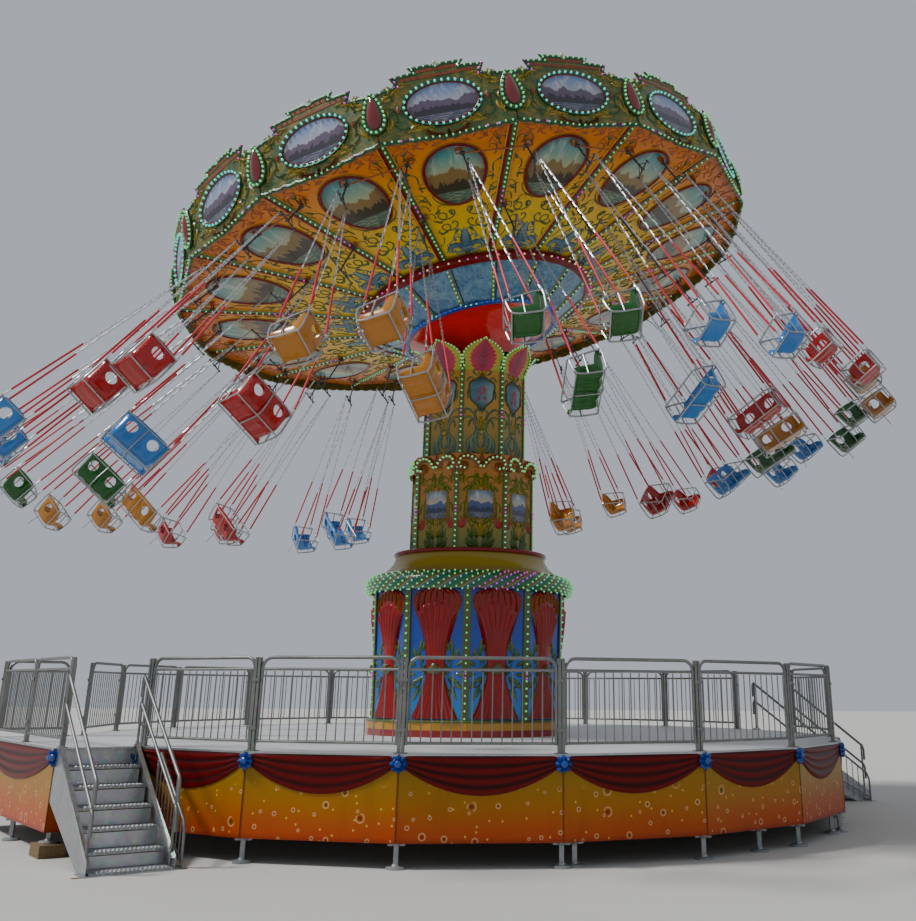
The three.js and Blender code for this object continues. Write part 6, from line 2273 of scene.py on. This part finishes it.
def jewels():
    """A red drop on a backing board over each joint of the rim, with lamps round it and a finial above."""
    backing, drops, rows, finials = Form(), Form(), [], Form()
    t = np.linspace(0, FULL_TURN, 40, endpoint=False)
    # A drop: pointed above, round below
    outline = np.stack((0.25 * np.sin(t) * (0.66 - 0.34 * np.cos(t)) ** 0.8, 0.475 + 0.375 * np.cos(t)), 1)
    finial = Form()
    finial.turned([(0, 0), (0.02, 0.0), (0.012, 0.03), (0.03, 0.055), (0.034, 0.08), (0.02, 0.105),
                   (0.008, 0.13), (0, 0.15)], 12)
    for k in range(SECTORS):
        azimuth = rib_azimuth(k)
        out, side = outwards(azimuth), along(azimuth)
        matrix = basis(side, UP, out, polar(EDGE_RADIUS + 0.030, azimuth))
        spots = on_matrix(matrix)
        backing.prism(outline, 0.034, matrix, 0.006)
        plaque(drops, (outline - (0, 0.5)) * (0.56, 0.76) + (0, 0.5), spots, 0.034, 0.048, 4, 0.05)
        rim = (outline - (0, 0.475)) * (0.85, 0.92) + (0, 0.475)
        rows.append((loop_path(rim, spots, 0.034), out, True))
        finials.include(finial, Matrix.Translation(polar(BOARD_DISTANCE + 0.012, azimuth, 0.80)))
        middle = polar(BOARD_DISTANCE + 0.015, rib_azimuth(k + 0.5), BOARD_TOP - 0.05)
        finials.include(finial, Matrix.Translation(middle))
    piece(backing, "jewel_boards", "rim_green", "crown", "olive_gold", CROWN)
    piece(drops, "jewels", "jewel", "crown", "bell_red", CROWN)
    piece(finials, "rim_finials", "white", "crown", None, CROWN)
    lamps(rows, "jewel_lamps", "green", "crown", CROWN, pitch=0.082, radius=0.021)


def roof_trim():
    """Seams over the roof, its hem and a ball on its top."""
    form = Form()
    line = [(EDGE_RADIUS - 0.02, 0.503), (0.33, 1.603), (0.15, 1.703), (0.06, 2.053)]
    for k in range(SECTORS):
        azimuth = rib_azimuth(k)
        form.tube([polar(r, azimuth, z) for r, z in line], 0.014, 6)
    form.turned([(0, 2.19), (0.05, 2.195), (0.085, 2.24), (0.085, 2.27), (0.05, 2.315), (0, 2.33)], 24)
    hem = [polar(EDGE_RADIUS - 0.02, rib_azimuth(k), 0.503) for k in range(SECTORS)]
    form.tube(hem, 0.02, 6, True)
    piece(form, "roof_seams", "gold", "crown", "roof_cover", CROWN)


underside_shell()
underside_ornament()
underside_ribs()
disc_trim()
bell()
rim_boards()
jewels()
roof_trim()


# Chairs. In its own frame a chair's shaft is at the origin along Y and its chains run down -Z;
# it faces -Y, and X is across the seat.
HOLE_RADIUS = 0.088
# Where the chains hold a chair, as y and height over the seat
REAR_EYE = (0.245, 0.385)
FRONT_EYE = (-0.172, 0.288)
CHAIN = {"Pitch": 0.096, "Width": 0.021, "Wire": 0.0058}


def seat_shell(width, holes):
    """A moulded seat with raised sides, a dip for each rider and round holes in its back."""
    riders = len(holes)
    half = width / 2
    line = [(0.232, 0.40), (0.228, 0.37), (0.218, 0.28), (0.205, 0.19), (0.190, 0.10), (0.170, 0.045),
            (0.135, 0.012), (0.09, 0.0), (0.03, -0.002), (-0.04, 0.004), (-0.11, 0.016), (-0.165, 0.030),
            (-0.198, 0.028),
            (-0.214, 0.002)]
    line = np.array(line)
    smooth = np.linspace(0, len(line) - 1, 22)
    line = np.stack([np.interp(smooth, range(len(line)), line[:, i]) for i in range(2)], 1)
    ahead = np.gradient(line, axis=0)
    ahead /= np.linalg.norm(ahead, axis=1)[:, None]
    inward = np.stack((ahead[:, 1], -ahead[:, 0]), 1)
    s = np.sin(np.linspace(-1, 1, 8 * riders + 9) * math.pi / 2)
    t = np.linspace(0, 1, len(line))
    body = np.sin(math.pi * np.clip(t, 0.02, 0.98)) ** 0.5
    wing = np.abs(s) ** 10
    dip = 0.5 + 0.5 * np.cos(s * riders * FULL_TURN + (0 if riders == 2 else math.pi))
    if riders == 1:
        dip = np.abs(s) ** 2
    lift = 0.115 * wing[:, None] * body[None] + 0.020 * dip[:, None] * body[None]
    head = -0.03 * np.abs(s)[:, None] ** 4 * np.clip(1 - t * 6, 0, 1)[None]
    x = np.broadcast_to((s * half)[:, None], lift.shape)
    y = line[None, :, 0] + inward[None, :, 0] * lift
    z = line[None, :, 1] + inward[None, :, 1] * lift + head
    inner = np.stack((x, y, z), 2)
    # Three swells across the outside of the shell
    skin = 0.026 + 0.014 * np.abs(np.sin(3 * math.pi * t))[None] ** 0.6 * (1 - np.abs(s) ** 6)[:, None]
    outer = inner - np.concatenate((np.zeros((len(line), 1)), inward), 1)[None] * skin[..., None]
    whole, cutter = Form(), Form()
    whole.shell(np.concatenate((inner, outer[:, ::-1]), 1))
    for x in holes:
        cutter.tube([(x, 0.05, 0.245), (x, 0.40, 0.225)], HOLE_RADIUS, 20)
    pair = []
    for form in (whole, cutter):
        mesh = form.mesh("seat")
        settle(mesh)
        pair.append(in_scene("seat", mesh))
    modifier = pair[0].modifiers.new("holes", "BOOLEAN")
    modifier.operation = "DIFFERENCE"
    modifier.solver = "EXACT"
    modifier.object = pair[1]
    pierced = form_of(baked(pair[0]))
    bpy.data.objects.remove(pair[1])
    return pierced


def rounded(points, radius=0.05, steps=4):
    """A path with its inner corners rounded."""
    points = [np.asarray(p, float) for p in points]
    path = [points[0]]
    for before, at, after in zip(points, points[1:], points[2:]):
        reach = min(radius, np.linalg.norm(at - before) / 2.2, np.linalg.norm(after - at) / 2.2)
        a, b = at + unit(before - at) * reach, at + unit(after - at) * reach
        for i in range(steps + 1):
            t = i / steps
            path.append((1 - t) ** 2 * a + 2 * t * (1 - t) * at + t * t * b)
    path.append(points[-1])
    return path


def chair_frame(width, double):
    """A tube loop round each end, a bar before the riders, and tubes under and behind the seat."""
    form = Form()
    half = width / 2 + 0.004
    tube = 0.0125
    loop = [REAR_EYE, (0.0, 0.335), (-0.25, 0.27), (-0.235, 0.06), (-0.215, -0.012), (-0.10, -0.042),
            (0.17, -0.04), (0.215, 0.02), (0.25, 0.30),
            REAR_EYE]
    for side in (-1, 1):
        ring = [(side * half, y, z) for y, z in loop]
        form.tube(rounded(ring, 0.07, 3), tube, 6)
        form.tube([(side * half, -0.02, 0.332), (side * half, -0.06, -0.04)], tube * 0.8, 6)
    bow = [(-half, -0.18, 0.286), (-half, -0.262, 0.268), (half, -0.262, 0.268), (half, -0.18, 0.286)]
    form.tube(rounded(bow, 0.06), tube, 6)
    for x in (-0.13, 0.13) if double else (0.0,):
        strut = [(x, -0.262, 0.268), (x, -0.262, 0.08), (x, -0.226, -0.020)]
        form.tube(rounded(strut, 0.05), tube * 0.9, 6)
    for y, z in ((-0.226, -0.024), (0.17, -0.046), (0.262, 0.36)):
        form.tube([(-half, y, z), (half, y, z)], tube * 0.85, 6)
    if double:
        spine = [(0.0, 0.262, 0.37), (0.0, 0.250, 0.12), (0.0, 0.205, -0.03), (0.0, 0.12, -0.052),
                 (0.0, -0.20, -0.036)]
        form.tube(rounded(spine, 0.06), tube * 0.8, 6)
    return form


def hanger(stem, spread):
    """The bar that hangs from the shaft, with its eye, its spreader and shackles."""
    form = Form()
    form.tube([(0, -0.035, 0), (0, 0.035, 0)], 0.034, 14)
    bar = [(-0.014, -0.02), (0.014, -0.02), (0.012, -stem + 0.03), (-0.012, -stem + 0.03)]
    form.prism(bar, 0.020, basis((1, 0, 0), (0, 0, 1), (0, -1, 0), (0, 0.010, 0)), 0.003)
    form.tube([(-spread - 0.012, 0, -stem), (spread + 0.012, 0, -stem)], 0.013, 10)
    form.tube([(0, -0.024, -stem), (0, 0.024, -stem)], 0.022, 10)
    for side in (-1, 1):
        form.tube([(side * spread, -0.018, -stem), (side * spread, 0.018, -stem)], 0.018, 8)
        form.tube([(side * spread, 0, -stem), (side * spread, 0, -stem - 0.05)], 0.010, 6)
        form.tube([(0, 0, -stem + 0.14), (side * spread * 0.7, 0, -stem + 0.01)], 0.008, 6)
    return form


SLEEVE_START = 0.64
SLEEVE_END = 0.965


def chair_kind(kind):
    """A chair's forms: seat, steel, chains and sleeves, in the chair's own frame."""
    width, reach, stem, spread = CHAIRS[kind]
    seat_level = -0.16 - reach
    double = kind == "double"
    holes = (-0.2, 0.2) if double else (0.0,)
    down = moved(0, 0, seat_level)
    seat, steel, sleeves, dark = Form(), Form(), Form(), Form()
    seat.include(seat_shell(width - 0.014, holes), down)
    steel.include(chair_frame(width, double), down)
    dark.include(hanger(stem, spread))
    if not double:
        strap = curl((0.25, 0.02), -62, 0.24, -25, 0, 6)
        dark.tube([(0.0, y, z + seat_level) for y, z in strap], 0.006, 5, flat=0.5)
    rows = []
    for side in (-1, 1):
        top = np.array((side * spread, 0.0, -stem - 0.04))
        for y, z in (REAR_EYE, FRONT_EYE):
            foot = np.array((side * (width / 2 + 0.002), y, seat_level + z))
            rows.append(([top, foot], UP))
            sleeves.tube([top + (foot - top) * t for t in (SLEEVE_START, SLEEVE_END)], 0.016, 8)
    links = LINKS.grow(rows_mesh(rows), "chain", **CHAIN)
    return {"seats": seat, "frames": steel, "hangers": dark, "chains": form_of(links), "sleeves": sleeves}


def fling_at(kind, azimuth):
    return FLING[kind] + FLING_SWELL * math.cos(azimuth - FLING_SWELL_AZIMUTH)


def swing_list():
    """Each swing's body, its place under the crown and its chairs, as in the frame."""
    swings = []
    for k in range(SECTORS):
        azimuth = rib_azimuth(k + HANGER["double"])
        chairs = [("double", 0.0, 0.0, 0.0)]
        name = f"double_swing_{k + 1:02d}"
        swings.append((name, k, azimuth, INNER_SHAFT_RADIUS, -INNER_SHAFT_DROP, fling_at("double", azimuth),
                       chairs))
    middle = (HANGER["middle"] + HANGER["outer"]) / 2
    for k in range(SECTORS):
        azimuth = rib_azimuth(k + middle)
        own = {kind: rib_azimuth(k + HANGER[kind]) for kind in ("middle", "outer")}
        fling = (fling_at("middle", own["middle"]) + fling_at("outer", own["outer"])) / 2
        chairs = []
        for kind in ("middle", "outer"):
            offset = OUTER_SHAFT_RADIUS * math.tan(own[kind] - azimuth)
            lean = PAIR_SHARE * (fling_at(kind, own[kind]) - fling)
            splay = math.asin(math.sin(rad(fling)) * math.sin(PAIR_SHARE * (own[kind] - azimuth)))
            chairs.append((kind, offset, lean, splay))
        swings.append((f"single_swings_{k + 1:02d}", k, azimuth, OUTER_SHAFT_RADIUS, -OUTER_SHAFT_DROP,
                       fling, chairs))
    return swings


# The finish and the slot of a swing's parts but its seats
SWING_LOOKS = {
    "frames": ("frame_tube", "fence_steel"),
    "hangers": ("hanger", "dark_steel"),
    "chains": ("chain", "fence_steel"),
    "sleeves": ("sleeve", None),
    "shaft": ("shaft", "dark_steel"),
}


def swings():
    kinds = {kind: chair_kind(kind) for kind in CHAIRS}
    brackets = Form()
    for name, k, azimuth, radius, height, fling, chairs in swing_list():
        f = rad(fling)
        out, side = outwards(azimuth), along(azimuth)
        across = out * math.cos(f) + UP * math.sin(f)
        chains = UP * math.cos(f) - out * math.sin(f)
        shaft_frame = CROWN @ basis(across, side, chains, polar(radius, azimuth, height))
        forms = {part: Form() for part in ("seats", *SWING_LOOKS)}
        shaft_half = max(abs(c[1]) for c in chairs) + 0.09
        forms["shaft"].tube([(0, -shaft_half, 0), (0, shaft_half, 0)], 0.014, 10)
        for kind, offset, lean, splay in chairs:
            turn = Matrix.Rotation(-rad(lean), 4, "Y") @ Matrix.Rotation(splay, 4, "X")
            place = moved(0, offset, 0) @ turn
            for part, form in kinds[kind].items():
                forms[part].include(form, place)
            # A bracket under the crown holds the shaft on both sides of the hanger.
            level = underside_at(math.hypot(radius, offset * 1.1)) + 0.02
            spot = polar(radius, azimuth) + side * offset * 1.1
            for shift in (-0.045, 0.055):
                outline = [(-0.035, level), (0.035, level), (0.022, height), (0.012, height - 0.02),
                           (-0.012, height - 0.02), (-0.022, height)]
                brackets.prism(outline, 0.010, basis(out, UP, np.cross(out, UP), spot + side * shift),
                               0.002)
            brackets.box((0.09, 0.13, 0.010), basis(out, side, UP, spot + (level - 0.022) * UP))
        colour = CHAIR_COLOURS[k % 4]
        piece(forms["seats"], name + "_seats", "seat_" + colour, name, "chair_" + colour, shaft_frame, 50,
              [name])
        for part, (finish, slot) in SWING_LOOKS.items():
            piece(forms[part], f"{name}_{part}", finish, name, slot, shaft_frame)
    piece(brackets, "swing_brackets", "shaft", "crown", "dark_steel", CROWN)


swings()
